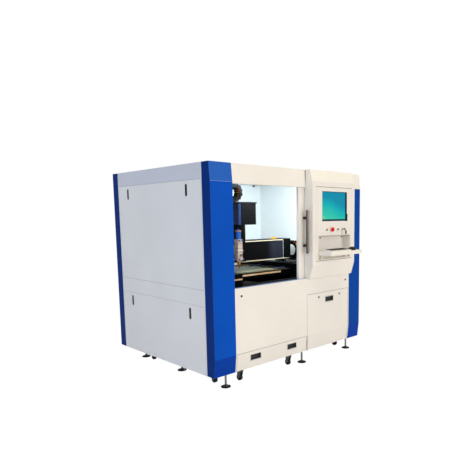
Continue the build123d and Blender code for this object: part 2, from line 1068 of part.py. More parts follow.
# Wall panel behind the console, with the opening for the console's insides
with BuildPart() as console_back_panel:
    block(console_left, right_column_left, 0, column_return, sill_height, opening_top)
    block(
        console_left + skin, right_column_left - skin, skin, column_return + 1,
        sill_height + skin, opening_top - skin, Mode.SUBTRACT,
    )
    block(
        recess_left - back_opening_margin, recess_right + back_opening_margin, -1, skin + 1,
        recess_bottom - back_opening_margin, face_top - 2 * back_opening_margin, Mode.SUBTRACT,
    )
save(console_back_panel, "console_back_panel")

# Door tracks: the ribbed sill plate below and the channel above
door_right = door_rest + door_width
door_back = door_front + door_thickness
door_middle = (door_front + door_back) / 2
channel_base = door_top + channel_gap
track_start = door_rest - door_slide - track_lead
track_end = door_right + slide_clearance
with BuildPart() as door_tracks:
    block(
        track_start, track_end, column_return + track_setback, frame_inset,
        shelf_height, door_bottom - slide_clearance,
    )
    block(
        track_start, track_end, door_middle - track_rib / 2, door_middle + track_rib / 2,
        door_bottom - slide_clearance, door_bottom - slide_clearance + track_rib_height,
    )
    block(
        track_start, track_end, door_front - rail_clearance - skin, frame_inset,
        channel_base, channel_base + skin,
    )
    for y in (door_front - rail_clearance - skin, door_back + rail_clearance):
        block(track_start, track_end, y, y + skin, channel_base - channel_depth, channel_base)
save(door_tracks, "door_tracks")

# Sliding door: a hollow-looking frame round a window, grooved underneath to run on the rib
window_left = door_rest + door_stile
window_right = door_right - door_stile
window_bottom = door_bottom + door_bottom_rail
window_top = door_top - door_top_rail
with BuildPart() as sliding_door:
    block(door_rest, door_right, door_front, door_back, door_bottom, door_top)
    block(
        window_left, window_right, door_front - 1, door_back + 1, window_bottom, window_top, Mode.SUBTRACT
    )
    block(
        window_left - glass_seat, window_right + glass_seat, door_middle, door_middle + window_glass,
        window_bottom - glass_seat, window_top + glass_seat, Mode.SUBTRACT,
    )
    block(
        door_rest - 1, door_right + 1, door_middle - track_groove / 2, door_middle + track_groove / 2,
        door_bottom - 1, door_bottom + track_rib_height, Mode.SUBTRACT,
    )
save(sliding_door, "sliding_door")

with BuildPart() as door_window:
    block(
        window_left - glass_seat, window_right + glass_seat, door_middle, door_middle + window_glass,
        window_bottom - glass_seat, window_top + glass_seat,
    )
save(door_window, "door_window")

# Door handle: an upright bar on two stand-offs with round feet
handle_place = across(door_rest + handle_x)
with BuildPart() as door_handle:
    with BuildSketch(Plane.XY.offset(handle_bottom)):
        with Locations((handle_place, back(-handle_reach))):
            Circle(handle_radius)
    extrude(amount=handle_top - handle_bottom)
    chamfer(door_handle.edges().filter_by(GeomType.CIRCLE), handle_edge)
    for z in (handle_post_bottom, handle_post_top):
        with BuildSketch(Plane.XZ.offset(-back(door_front))):
            with Locations((handle_place, z)):
                Circle(post_radius)
        extrude(amount=door_front + handle_reach)
        with BuildSketch(Plane.XZ.offset(-back(door_front))):
            with Locations((handle_place, z)):
                Circle(post_foot_radius)
        extrude(amount=post_foot_height)
save(door_handle, "door_handle")

# Chamber liner: light walls and ceiling, open to the front and below
with BuildPart() as chamber_liner:
    ceiling = roof_bottom - tube
    block(liner_left, liner_right, liner_front, liner_back, liner_bottom, ceiling)
    block(
        liner_left + skin, liner_right - skin, liner_front - 1, liner_back - skin,
        liner_bottom - 1, ceiling - skin, Mode.SUBTRACT,
    )
save(chamber_liner, "chamber_liner")

# Machine bed: two side beams and two cross beams, with the linear rails and the chain shelf
rail_lines = (gantry_left + rail_inset, gantry_right - rail_inset)
chain_lower_x = bed_right + shelf_wall
chain_shelf_top = gantry_bottom - shelf_drop
shelf_front = bed_front + shelf_setback
rail_half_profile = [
    (rail_width / 2, 0),
    (rail_width / 2, rail_height * 0.3),
    (rail_width / 2 * rail_waist, rail_height * 0.5),
    (rail_width / 2, rail_height * 0.7),
    (rail_width / 2, rail_height),
]
rail_profile = rail_half_profile + [(-reach, rise) for reach, rise in reversed(rail_half_profile)]
with BuildPart() as machine_bed:
    for x0 in (bed_left, bed_right - bed_beam):
        block(x0, x0 + bed_beam, bed_front, bed_rear, bench_height, bed_top)
    for y0, top in ((bed_front, bed_cross_top), (bed_rear - bed_cross, bed_cross_top + bed_cross_rise)):
        block(bed_left + bed_beam, bed_right - bed_beam, y0, y0 + bed_cross, bench_height, top)
    for x in rail_lines:
        with BuildSketch(Plane.XZ.offset(-back(bed_front + rail_end))):
            with BuildLine():
                Polyline(*[(across(x) + reach, bed_top + rise) for reach, rise in rail_profile], close=True)
            make_face()
        extrude(amount=-(bed_rear - bed_front - 2 * rail_end))
    block(bed_right, bed_right + shelf_bracket, shelf_front, bed_rear, bed_top - shelf_skirt, chain_shelf_top)
    block(
        bed_right, chain_lower_x + chain_lower_width + shelf_bracket, shelf_front, bed_rear,
        chain_shelf_top - shelf_plate, chain_shelf_top,
    )
save(machine_bed, "machine_bed")

# Cutting table: a frame of bars between the bed beams, toothed slats and clamps at the right edge
slat_front = table_front + table_bar
slat_rear = table_rear - table_bar
slat_base = table_top - slat_height
table_base = slat_base - table_bar
slat_room = table_right - table_left - 2 * table_rail
slat_count = int(slat_room / slat_pitch)
slat_first = table_left + table_rail + (slat_room - (slat_count - 1) * slat_pitch) / 2
tooth_count = int((slat_rear - slat_front - 2 * tooth_pitch) / tooth_pitch)
clamp_rows = (sheet_front + clamp_inset, (sheet_front + sheet_rear) / 2, sheet_rear - clamp_inset)
clamp_left = sheet_right + clamp_gap
clamp_right = clamp_left + clamp_length
clamp_base = table_top - sheet_thickness
with BuildPart() as cutting_table:
    for y in (table_front, slat_rear):
        block(table_left, table_right, y, y + table_bar, table_base, table_top)
    for x in (table_left, table_right - table_rail):
        block(x, x + table_rail, table_front, table_rear, table_base, table_top)
    for number in range(slat_count):
        x = slat_first + number * slat_pitch
        points = [(slat_front, slat_base), (slat_front, table_top - tooth_depth)]
        for tooth in range(tooth_count):
            start = slat_front + tooth_pitch + tooth * tooth_pitch
            points.append((start, table_top - tooth_depth))
            points.append((start + tooth_pitch / 2, table_top))
        points.append((slat_rear - tooth_pitch / 2, table_top - tooth_depth))
        points.append((slat_rear, table_top - tooth_depth))
        points.append((slat_rear, slat_base))
        side_prism(points, x - slat_thickness / 2, x + slat_thickness / 2)
    for y in clamp_rows:
        block(
            clamp_left, clamp_right, y - clamp_width / 2, y + clamp_width / 2,
            clamp_base, table_top + clamp_height,
        )
        block(
            clamp_right, table_right - clamp_edge, y - clamp_arm / 2, y + clamp_arm / 2,
            clamp_base, table_top + clamp_height / 2,
        )
save(cutting_table, "cutting_table")

with BuildPart() as metal_sheet:
    block(sheet_left, sheet_right, sheet_front, sheet_rear, table_top, table_top + sheet_thickness)
save(metal_sheet, "metal_sheet")

# Gantry: the beam, its end boxes with guide blocks, the linear rails and the bellows strips
beam_left = gantry_left + end_box
beam_right = gantry_right - end_box
chain_top = cover_top + chain_thickness + 2 * chain_radius
chain_start = gantry_left + chain_post_inset
post_front = gantry_front + chain_post_setback
upper_strip = gantry_top - strip_drop - strip_height
lower_chain_top = chain_shelf_top + chain_thickness + 2 * chain_lower_radius
guide_front = gantry_front + guide_setback
with BuildPart() as gantry_beam:
    block(beam_left, beam_right, beam_front, gantry_back, gantry_bottom, gantry_top)
    for x0 in (gantry_left, beam_right):
        block(x0, x0 + end_box, gantry_front, gantry_back, gantry_bottom, gantry_top)
    for z0 in (gantry_bottom, upper_strip):
        block(beam_left, beam_right, gantry_front, beam_front, z0, z0 + strip_height)
    block(beam_left, beam_right, gantry_front + strip_setback, beam_front, gantry_top - strip_drop, gantry_top)
    for z in (x_rail_low, x_rail_high):
        block(
            beam_left, beam_right, beam_front - x_rail_height, beam_front,
            z - x_rail_width / 2, z + x_rail_width / 2,
        )
    for x in rail_lines:
        block(
            x - guide_width / 2, x + guide_width / 2, guide_front, guide_front + guide_length,
            bed_top + guide_lift, gantry_bottom,
        )
        clear = rail_width / 2 + guide_clearance
        block(
            x - clear, x + clear, gantry_front, gantry_back,
            bed_top, bed_top + rail_height + guide_clearance, Mode.SUBTRACT,
        )
    block(chain_start, chain_start + chain_post, post_front, post_front + chain_post, gantry_top, chain_top)
    block(
        chain_start, chain_start + chain_post, cover_front, post_front + chain_post,
        chain_top, chain_top + chain_arm,
    )
    block(
        gantry_right, chain_lower_x + chain_lower_width, chain_lower_end, chain_lower_end + chain_arm,
        gantry_bottom + bracket_rise, lower_chain_top + chain_arm / 2,
    )
save(gantry_beam, "gantry_beam")


def bellows(x0, x1):
    """A pleated cover between two places across, flat at the back."""
    count = int((x1 - x0) / pleat)
    step = (x1 - x0) / count
    foot = gantry_bottom + strip_height + bellows_gap
    valley = bellows_front + pleat_low
    with BuildSketch(Plane.XY.offset(foot)) as outline:
        with BuildLine():
            points = [(across(x0), back(bellows_front + bellows_depth))]
            for number in range(count):
                points.append((across(x0 + number * step), back(valley)))
                points.append((across(x0 + (number + 0.5) * step), back(bellows_front)))
            points.append((across(x1), back(valley)))
            points.append((across(x1), back(bellows_front + bellows_depth)))
            Polyline(*points, close=True)
        make_face()
    extrude(outline.sketch, amount=upper_strip - bellows_gap - foot)


carriage_right = carriage_left + carriage_width
with BuildPart() as beam_bellows:
    bellows(beam_left, carriage_left)
    bellows(carriage_right, beam_right)
save(beam_bellows, "beam_bellows")

# Carriage: the plate with its guide blocks, the cover box in front of it and the upper tray
carriage_back = carriage_front + carriage_plate
cover_right = cover_left + cover_width
cover_back = cover_front + cover_depth
spine_right = carriage_right - spine_inset
tray_base = cover_top - tray_thickness
chain_bend_x = cover_left - motor_width - chain_clearance
chain_tray_left = chain_bend_x - chain_run - tray_overhang
with BuildPart() as carriage:
    block(carriage_left, carriage_right, carriage_front, carriage_back, carriage_bottom, cover_top)
    for z in (x_rail_low, x_rail_high):
        for x in (carriage_left + carriage_block_inset, carriage_right - carriage_block_inset):
            half_block = carriage_block_width / 2
            block(
                x - half_block, x + half_block, carriage_back, beam_front - carriage_block_gap,
                z - carriage_block_height / 2, z + carriage_block_height / 2,
            )
            half_slot = x_rail_width / 2 + guide_clearance
            block(
                x - half_block, x + half_block, beam_front - x_rail_height - guide_clearance, beam_front,
                z - half_slot, z + half_slot, Mode.SUBTRACT,
            )
    block(cover_left, cover_right, cover_front, cover_back, cover_bottom, cover_top)
    block(cover_right, spine_right, cover_front + spine_setback, carriage_front, cover_bottom, cover_top)
    block(chain_tray_left, spine_right, cover_front, carriage_front, tray_base, cover_top)
    front_edges = carriage.edges().filter_by(Axis.Z)
    fillet(front_edges.filter_by_position(Axis.Y, back(cover_front) - 1, back(cover_front) + 1), cover_round)
save(carriage, "carriage")

# Z servo motor: a finned housing beside the cover box
fin_pitch = (tray_base - cover_bottom) / motor_fins
motor_left = cover_left - motor_width
motor_front = cover_front + motor_setback
with BuildPart() as z_motor:
    block(motor_left + fin_depth, cover_left, motor_front, cover_back, cover_bottom, tray_base)
    for number in range(motor_fins):
        z = cover_bottom + number * fin_pitch
        block(motor_left, motor_left + fin_depth, motor_front, cover_back, z, z + fin_pitch * fin_share)
save(z_motor, "z_motor")

# Z slide plate in front of the carriage plate
slide_left = carriage_left + slide_inset
slide_face = carriage_front - slide_gap - slide_plate
with BuildPart() as z_plate:
    block(
        slide_left, slide_left + slide_width, slide_face, carriage_front - slide_gap,
        slide_bottom, slide_top,
    )
save(z_plate, "z_plate")

# Cutting head: a square body on a bracket, with screws, side window and gas fitting
head_half = head_width / 2
head_front = head_y - head_half


def head_collar(low, height):
    """A square flange round the head."""
    reach = head_half + flange_reach
    block(head_x - reach, head_x + reach, head_y - reach, head_y + reach, low, low + height)


def head_boss(x, y, z, radius, height):
    """A round boss that stands out towards the front."""
    with BuildSketch(Plane.XZ.offset(-back(y))) as outline:
        with Locations((across(x), z)):
            Circle(radius)
    extrude(outline.sketch, amount=height)


with BuildPart() as cutting_head:
    block(head_x - head_half, head_x + head_half, head_front, head_y + head_half, head_bottom, head_top)
    fillet(cutting_head.edges().filter_by(Axis.Z), head_round)
    head_collar(head_bottom, flange_low)
    head_collar(head_bottom + flange_rise, flange_high)
    block(
        head_x - arm_width / 2, head_x + arm_width / 2, head_y + head_half - 1, slide_face,
        head_bottom + arm_low, head_bottom + arm_high,
    )
    head_boss(head_x, head_front, head_bottom + gauge_height, gauge_radius, gauge_depth)
    for side in (-1, 1):
        head_boss(
            head_x + side * foot_screw_offset, head_front - flange_reach,
            head_bottom + flange_low / 2, screw_radius, screw_radius,
        )
        head_boss(
            head_x + side * top_screw_offset, head_front, head_top - top_screw_drop, screw_radius, screw_radius,
        )
save(cutting_head, "cutting_head")

# Fibre connector on top of the head
ring_high = connector_top - boot_height
ring_low = ring_high - ring_height
with BuildPart() as fibre_connector:
    with BuildSketch(Plane.XZ.offset(-back(head_y))):
        with BuildLine():
            Polyline(
                (across(head_x), head_top),
                (across(head_x) + connector_radius, head_top),
                (across(head_x) + connector_radius, ring_low),
                (across(head_x) + ring_radius, ring_low),
                (across(head_x) + ring_radius, ring_high),
                (across(head_x) + boot_radius, ring_high),
                (across(head_x) + boot_tip, connector_top),
                (across(head_x), connector_top),
                close=True,
            )
        make_face()
    revolve(axis=Axis((across(head_x), back(head_y), 0), (0, 0, 1)))
save(fibre_connector, "fibre_connector")

# Nozzle under the head: ceramic ring, cone and tip with its bore
sensor_low = head_bottom - sensor_height
ceramic_low = sensor_low - sensor_bevel - ceramic_height
with BuildPart() as nozzle:
    with BuildSketch(Plane.XZ.offset(-back(head_y))):
        with BuildLine():
            Polyline(
                (across(head_x) + nozzle_bore, head_bottom),
                (across(head_x) + sensor_radius, head_bottom),
                (across(head_x) + sensor_radius, sensor_low),
                (across(head_x) + ceramic_radius, sensor_low - sensor_bevel),
                (across(head_x) + ceramic_radius, ceramic_low),
                (across(head_x) + nozzle_shoulder, nozzle_tip + nozzle_taper),
                (across(head_x) + nozzle_radius, nozzle_tip),
                (across(head_x) + nozzle_bore, nozzle_tip),
                close=True,
            )
        make_face()
    revolve(axis=Axis((across(head_x), back(head_y), 0), (0, 0, 1)))
save(nozzle, "nozzle")


def chain_link(plane, width, length, outer):
    """One link on a plane whose x runs along the chain: two rounded side plates and two crossbars."""
    offset_in = width / 2 - (0 if outer else chain_plate)
    with BuildSketch(plane.offset(offset_in - chain_plate)) as outline:
        SlotOverall(length + chain_thickness, chain_thickness)
    extrude(outline.sketch, amount=chain_plate)
    with BuildSketch(plane.offset(-offset_in)) as outline:
        SlotOverall(length + chain_thickness, chain_thickness)
    extrude(outline.sketch, amount=chain_plate)
    half = chain_thickness / 2
    with BuildSketch(plane.offset(-offset_in + chain_plate)) as outline:
        for side in (-1, 1):
            with Locations((0, side * (half - link_bar_inset))):
                Rectangle(length * link_bar_share, link_bar)
    extrude(outline.sketch, amount=2 * (offset_in - chain_plate))


def chain_joints(start, bend_centre, radius, run_end):
    """Joint places in the chain's own plane: a straight run, a half turn and the run back."""
    length = bend_centre[0] - start
    count = max(1, round(length / (2 * radius * math.sin(math.pi / 2 / chain_turns))))
    joints = [(start + length * n / count, bend_centre[1] + radius) for n in range(count)]
    for n in range(chain_turns + 1):
        turn = math.pi * n / chain_turns
        joints.append((bend_centre[0] + radius * math.sin(turn), bend_centre[1] + radius * math.cos(turn)))
    back_length = bend_centre[0] - run_end
    back_count = max(1, round(back_length / (2 * radius * math.sin(math.pi / 2 / chain_turns))))
    for n in range(1, back_count + 1):
        joints.append((bend_centre[0] - back_length * n / back_count, bend_centre[1] - radius))
    return joints


def chain(joints, width, to_plane):
    """Links between neighbouring joints, alternately outer and inner."""
    for number in range(len(joints) - 1):
        a = joints[number]
        b = joints[number + 1]
        length = math.dist(a, b)
        chain_link(to_plane(a, b), width, length, number % 2 == 0)


# Cross chain: hung under its arm at the left, turning down onto the carriage tray
chain_y = cover_front + chain_width / 2
chain_bend_z = cover_top + chain_thickness / 2 + chain_radius


def cross_chain_plane(a, b):
    middle = (across((a[0] + b[0]) / 2), back(chain_y), (a[1] + b[1]) / 2)
    return Plane(origin=middle, x_dir=(b[0] - a[0], 0, b[1] - a[1]), z_dir=(0, 1, 0))


with BuildPart() as cable_chain_x:
    chain(
        chain_joints(
            chain_start + chain_first, (chain_bend_x, chain_bend_z), chain_radius, chain_bend_x - chain_run,
        ),
        chain_width, cross_chain_plane,
    )
save(cable_chain_x, "cable_chain_x")

# Lengthwise chain: on its shelf beside the bed, turning up onto the gantry's bracket at the front
chain_lower_middle = chain_lower_x + chain_lower_width / 2
chain_lower_bend_z = chain_shelf_top + chain_thickness / 2 + chain_lower_radius


def lengthwise_chain_plane(a, b):
    middle = (across(chain_lower_middle), back(-(a[0] + b[0]) / 2), 2 * chain_lower_bend_z - (a[1] + b[1]) / 2)
    return Plane(origin=middle, x_dir=(0, a[0] - b[0], a[1] - b[1]), z_dir=(1, 0, 0))


with BuildPart() as cable_chain_y:
    chain(
        chain_joints(
            -(bed_rear - chain_rear_end), (-chain_lower_bend_y, chain_lower_bend_z), chain_lower_radius,
            -(chain_lower_end - chain_thickness / 2),
        ),
        chain_lower_width, lengthwise_chain_plane,
    )
save(cable_chain_y, "cable_chain_y")

# Console housing: a folded face between two slants, open at the back, with a lip round its face panel
console_bottom = sill_height - 1


def console_profile(wall, rear):
    """Side profile of the housing, set in by a wall and reaching back to a rear edge."""
    return [
        (rear, console_bottom + wall),
        (-console_end_reach + wall, console_bottom + wall),
        (-console_reach + wall, console_low_bend),
        (-console_reach + wall, console_high_bend),
        (-console_end_reach + wall, body_height - wall),
        (rear, body_height - wall),
    ]


with BuildPart() as console_housing:
    side_prism(console_profile(0, 0), console_left, console_right)
    side_prism(console_profile(skin, 1), console_left + skin, console_right - skin, Mode.SUBTRACT)
    block(
        face_left - lip, face_right + lip, -console_reach + skin, -console_reach + 2 * skin,
        face_bottom - lip, face_top + lip,
    )
    block(
        face_left, face_right, -console_reach - 1, -console_reach + skin, face_bottom, face_top, Mode.SUBTRACT
    )
    block(
        face_left + lip, face_right - lip, -console_reach - 1, -console_reach + 3 * skin,
        face_bottom + lip, face_top - lip, Mode.SUBTRACT,
    )
save(console_housing, "console_housing")

# Console face panel: monitor window, control collars and the keyboard recess with its hinge eyes
screen_right = screen_left + screen_width
screen_top = screen_bottom + screen_height
hinge_y = -console_reach + hinge_drop
hinge_z = flap_bottom + hinge_drop
recess_back = recess_depth - console_reach
recess_wall = recess_back - skin
strip_left = recess_left + recess_strip_inset
strip_right = recess_right - recess_strip_end
eye_places = (recess_left + eye_inset, recess_right - eye_inset - eye_width)


def control_bore(x, radius):
    with BuildSketch(Plane.XZ.offset(-back(-console_reach - collar_height - 1))) as outline:
        with Locations((across(x), control_height)):
            Circle(radius)
    extrude(outline.sketch, amount=-(collar_height + skin + 2), mode=Mode.SUBTRACT)


controls = (
    (estop_x, estop_stem),
    (grey_button_x, button_stem),
    (green_button_x, button_stem),
    (key_x, key_stem),
)
with BuildPart() as console_panel:
    block(
        face_left + seam / 2, face_right - seam / 2, -console_reach, -console_reach + skin,
        face_bottom + seam / 2, face_top - seam / 2,
    )
    block(
        recess_left - skin, recess_right + skin, -console_reach, recess_back,
        recess_bottom - skin, recess_top + skin,
    )
    block(
        recess_left, recess_right, -console_reach - 1, recess_wall,
        recess_bottom, recess_top, Mode.SUBTRACT,
    )
    block(
        screen_left, screen_right, -console_reach - 1, -console_reach + skin,
        screen_bottom, screen_top, Mode.SUBTRACT,
    )
    for x, stem in controls:
        with BuildSketch(Plane.XZ.offset(-back(-console_reach))):
            with Locations((across(x), control_height)):
                Circle(collar_radius)
        extrude(amount=collar_height)
        control_bore(x, stem + stem_clearance)
    for x in eye_places:
        block(x, x + eye_width, hinge_y - eye_leg / 2, hinge_y + eye_leg / 2, recess_bottom, hinge_z)
        with BuildSketch(Plane.YZ.offset(across(x))):
            with Locations((back(hinge_y), hinge_z)):
                Circle(eye_radius)
        extrude(amount=eye_width)
        with BuildSketch(Plane.YZ.offset(across(x - 1))):
            with Locations((back(hinge_y), hinge_z)):
                Circle(pin_radius + stem_clearance)
        extrude(amount=eye_width + 2, mode=Mode.SUBTRACT)
    block(
        strip_left, strip_right, recess_wall - recess_strip_depth, recess_wall,
        recess_strip_bottom, recess_strip_bottom + recess_strip_height,
    )
    with BuildSketch(Plane.XZ.offset(-back(recess_wall - recess_strip_depth))):
        for x in (strip_left + strip_lock_inset, strip_right - strip_lock_inset):
            with Locations((across(x), recess_strip_bottom + recess_strip_height / 2)):
                Circle(strip_lock_radius)
    extrude(amount=lock_proud)
save(console_panel, "console_panel")

# Monitor: a frame behind the window and a screen set back in it
with BuildPart() as monitor:
    block(
        screen_left - monitor_flange, screen_right + monitor_flange, -console_reach + skin,
        -console_reach + skin + monitor_depth, screen_bottom - monitor_flange, screen_top + monitor_flange,
    )
    block(
        screen_left + bezel, screen_right - bezel_right, -console_reach, -console_reach + screen_recess,
        screen_bottom + bezel, screen_top - bezel, Mode.SUBTRACT,
    )
save(monitor, "monitor")


def push_button(x, stem, head, head_height, travel_gap):
    """A button: a stem through the collar and a head that stands off from it."""
    front = console_reach + collar_height + travel_gap
    with BuildSketch(Plane.XZ.offset(-back(stem_sink - console_reach))) as outline:
        with Locations((across(x), control_height)):
            Circle(stem)
    extrude(outline.sketch, amount=front - console_reach + stem_sink)
    with BuildSketch(Plane.XZ.offset(-back(-front))) as outline:
        with Locations((across(x), control_height)):
            Circle(head)
    extrude(outline.sketch, amount=head_height)


# Emergency stop with its mushroom head
with BuildPart() as emergency_stop:
    push_button(estop_x, estop_stem, estop_head, estop_cap, estop_travel)
    fillet(emergency_stop.edges().filter_by(GeomType.CIRCLE).sort_by(Axis.Y)[0], estop_round)
save(emergency_stop, "emergency_stop")

for name, x in (("grey", grey_button_x), ("green", green_button_x)):
    with BuildPart() as button:
        push_button(x, button_stem, button_stem, button_cap, button_travel)
    save(button, f"button_{name}")

# Key switch: its barrel and the key in it, a shank and a bow
key_front = console_reach + collar_height
with BuildPart() as key_switch:
    with BuildSketch(Plane.XZ.offset(-back(stem_sink - console_reach))):
        with Locations((across(key_x), control_height)):
            Circle(key_stem)
    extrude(amount=key_front - console_reach + stem_sink + key_proud)
    half_plate = key_plate / 2
    block(
        key_x - half_plate, key_x + half_plate,
        -key_front - key_length / 2 - key_proud, -key_front - key_proud,
        control_height - key_shank / 2, control_height + key_shank / 2,
    )
    block(
        key_x - half_plate, key_x + half_plate, -key_front - key_length, -key_front - key_length / 2,
        control_height - key_bow / 2, control_height + key_bow / 2,
    )
save(key_switch, "key_switch")

# Keyboard flap: a deep tray leaf with rounded front corners, two knobs underneath and its hinge pins
flap_left = recess_left + flap_gap
flap_right = recess_right - flap_gap
flap_top = flap_bottom + flap_thickness
flap_back = -console_reach + 2 * hinge_drop - eye_clearance
flap_middle = (flap_left + flap_right) / 2
with BuildPart() as keyboard_flap:
    with BuildSketch(Plane.XY.offset(flap_bottom)):
        with Locations((across(flap_middle), back((flap_back - flap_front) / 2))):
            flap_shape = Rectangle(flap_right - flap_left, flap_back + flap_front)
        fillet(flap_shape.vertices().group_by(Axis.Y)[0], flap_corner)
    extrude(amount=flap_thickness)
    fillet(keyboard_flap.faces().sort_by(Axis.Z)[-1].edges().sort_by(Axis.Y)[0], flap_edge)
    with BuildSketch(Plane.XY.offset(flap_top - flap_pocket)):
        with Locations((across(flap_middle), back((flap_back - flap_front) / 2))):
            pocket = Rectangle(flap_right - flap_left - 2 * flap_rim, flap_back + flap_front - 2 * flap_rim)
        fillet(pocket.vertices().group_by(Axis.Y)[0], flap_corner - flap_rim)
    extrude(amount=flap_pocket + 1, mode=Mode.SUBTRACT)
    for x in eye_places:
        block(
            x - eye_clearance, x + eye_width + eye_clearance,
            hinge_y - eye_radius - eye_clearance, flap_back + 1,
            flap_bottom - 1, hinge_z + eye_radius + eye_clearance, Mode.SUBTRACT,
        )
        with BuildSketch(Plane.YZ.offset(across(x - 2 * eye_clearance))):
            with Locations((back(hinge_y), hinge_z)):
                Circle(pin_radius)
        extrude(amount=eye_width + 4 * eye_clearance)
    for x in (flap_left + knob_inset_left, flap_right - knob_inset_right):
        with BuildSketch(Plane.XY.offset(flap_bottom)):
            with Locations((across(x), back(-console_reach - knob_reach))):
                Circle(knob_radius)
        extrude(amount=-knob_height)
save(keyboard_flap, "keyboard_flap")

# Keyboard: a wedge with rows of keys
flap_floor = flap_top - flap_pocket
keyboard_left = flap_left + keyboard_inset
keyboard_right = keyboard_left + keyboard_width
keyboard_front = -flap_front + keyboard_setback
keyboard_back = keyboard_front + keyboard_depth
keyboard_profile = [
    (keyboard_front, flap_floor),
    (keyboard_front, flap_floor + keyboard_low),
    (keyboard_back, flap_floor + keyboard_high),
    (keyboard_back, flap_floor),
]
row_pitch = (keyboard_depth - 2 * key_margin) / key_rows
keyboard_slope = (keyboard_high - keyboard_low) / keyboard_depth
with BuildPart() as keyboard:
    side_prism(keyboard_profile, keyboard_left, keyboard_right)
    for row in range(key_rows):
        y = keyboard_front + key_margin + row * row_pitch
        z = flap_floor + keyboard_low + keyboard_slope * (y - keyboard_front)
        key_back = y + row_pitch - key_gap
        side_prism(
            [(y, z - 1), (y + 1, z + key_rise), (key_back - 1, z + key_rise + 1), (key_back, z - 1)],
            keyboard_left + key_margin, keyboard_right - key_margin,
        )
save(keyboard, "keyboard")

# Mouse: a domed oval body
mouse_x = flap_right - mouse_inset
mouse_y = mouse_setback - flap_front
mouse_levels = (
    (mouse_skirt, 1),
    (mouse_shoulder, mouse_shoulder_share),
    (mouse_height, mouse_top_share),
)
with BuildPart() as mouse:
    with BuildSketch(Plane.XY.offset(flap_floor)):
        with Locations((across(mouse_x), back(mouse_y))):
            Ellipse(mouse_half_length, mouse_half_width)
    extrude(amount=mouse_skirt)
    for rise, share in mouse_levels:
        with BuildSketch(Plane.XY.offset(flap_floor + rise)):
            with Locations((across(mouse_x), back(mouse_y))):
                Ellipse(mouse_half_length * share, mouse_half_width * share)
    loft()
save(mouse, "mouse")

# Laser source: a rack box on the runners behind the lower door
source_left = (foot_middle + foot_right - source_width) / 2
source_right = source_left + source_width
source_back = source_front + source_depth
source_base = runner_top + source_rail_height
grip_back = source_front - grip_reach
with BuildPart() as laser_source:
    block(source_left, source_right, source_front, source_back, source_base, source_base + source_height)
    for y in (source_front + source_rail_inset, source_back - source_rail_inset):
        block(
            foot_middle - half_tube, foot_right + half_tube, y, y + source_rail_width, runner_top, source_base,
        )
    for x in (source_left + grip_inset, source_right - grip_inset - grip_bar):
        for z in (grip_low, grip_high):
            block(x, x + grip_bar, grip_back, source_front, source_base + z, source_base + z + grip_bar)
        block(
            x, x + grip_bar, grip_back - grip_bar, grip_back,
            source_base + grip_low, source_base + grip_high + grip_bar,
        )
save(laser_source, "laser_source")
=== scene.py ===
import math

import bmesh
import bpy
from mathutils import Matrix, Vector
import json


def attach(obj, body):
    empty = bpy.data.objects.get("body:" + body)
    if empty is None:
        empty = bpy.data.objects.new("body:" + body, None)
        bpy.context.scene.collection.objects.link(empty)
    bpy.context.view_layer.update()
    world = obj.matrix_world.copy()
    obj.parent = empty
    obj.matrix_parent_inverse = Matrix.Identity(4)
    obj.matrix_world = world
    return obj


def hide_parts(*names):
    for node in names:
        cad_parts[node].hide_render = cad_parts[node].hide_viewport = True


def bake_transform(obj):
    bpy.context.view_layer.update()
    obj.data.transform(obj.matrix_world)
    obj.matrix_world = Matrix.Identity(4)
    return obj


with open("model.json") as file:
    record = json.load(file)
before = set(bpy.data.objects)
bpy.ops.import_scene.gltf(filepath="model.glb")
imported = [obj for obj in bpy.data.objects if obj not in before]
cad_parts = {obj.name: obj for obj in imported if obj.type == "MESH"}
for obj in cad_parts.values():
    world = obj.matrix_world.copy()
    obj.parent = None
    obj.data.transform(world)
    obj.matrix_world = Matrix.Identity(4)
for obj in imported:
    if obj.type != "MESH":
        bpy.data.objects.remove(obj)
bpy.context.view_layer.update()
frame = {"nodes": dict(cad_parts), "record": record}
nodes = frame["nodes"]

# Places are given as in the drawing: millimetres from the left side plane, the front plane and the floor
BODY_WIDTH = 1980.0
FRONT_Y = -717.0

# The cutting head's middle, and its clamping screws: how far to each side, and how high
HEAD_X = 785
UPPER_SCREW, UPPER_LEVEL = 20, 1226
LOWER_SCREW, LOWER_LEVEL = 24, 1041


def at(x, y, z):
    return Vector(((x - BODY_WIDTH / 2) / 1000, (FRONT_Y + y) / 1000, z / 1000))


# Materials

def linear(r, g, b):
    def one(v):
        v /= 255
        return v / 12.92 if v <= 0.04045 else ((v + 0.055) / 1.055) ** 2.4
    return (one(r), one(g), one(b), 1.0)


def shade(color, factor):
    return tuple(min(1.0, c * factor) for c in color[:3]) + (1.0,)


def new_material(name):
    mat = bpy.data.materials.new(name)
    mat.use_nodes = True
    tree = mat.node_tree
    bsdf = next(n for n in tree.nodes if n.type == "BSDF_PRINCIPLED")
    coords = tree.nodes.new("ShaderNodeTexCoord")
    return mat, tree, bsdf, coords.outputs["Object"]


def scaled(tree, source, scale):
    mapping = tree.nodes.new("ShaderNodeMapping")
    mapping.inputs["Scale"].default_value = scale
    tree.links.new(source, mapping.inputs["Vector"])
    return mapping.outputs["Vector"]


def noise(tree, source, scale, detail=2.0, roughness=0.5):
    node = tree.nodes.new("ShaderNodeTexNoise")
    node.inputs["Scale"].default_value = scale
    node.inputs["Detail"].default_value = detail
    node.inputs["Roughness"].default_value = roughness
    tree.links.new(source, node.inputs["Vector"])
    return node.outputs["Fac"]


def ramp(tree, fac, stops):
    node = tree.nodes.new("ShaderNodeValToRGB")
    elements = node.color_ramp.elements
    while len(elements) < len(stops):
        elements.new(0.5)
    for element, (place, color) in zip(elements, stops):
        element.position = place
        element.color = color
    tree.links.new(fac, node.inputs["Fac"])
    return node.outputs["Color"]


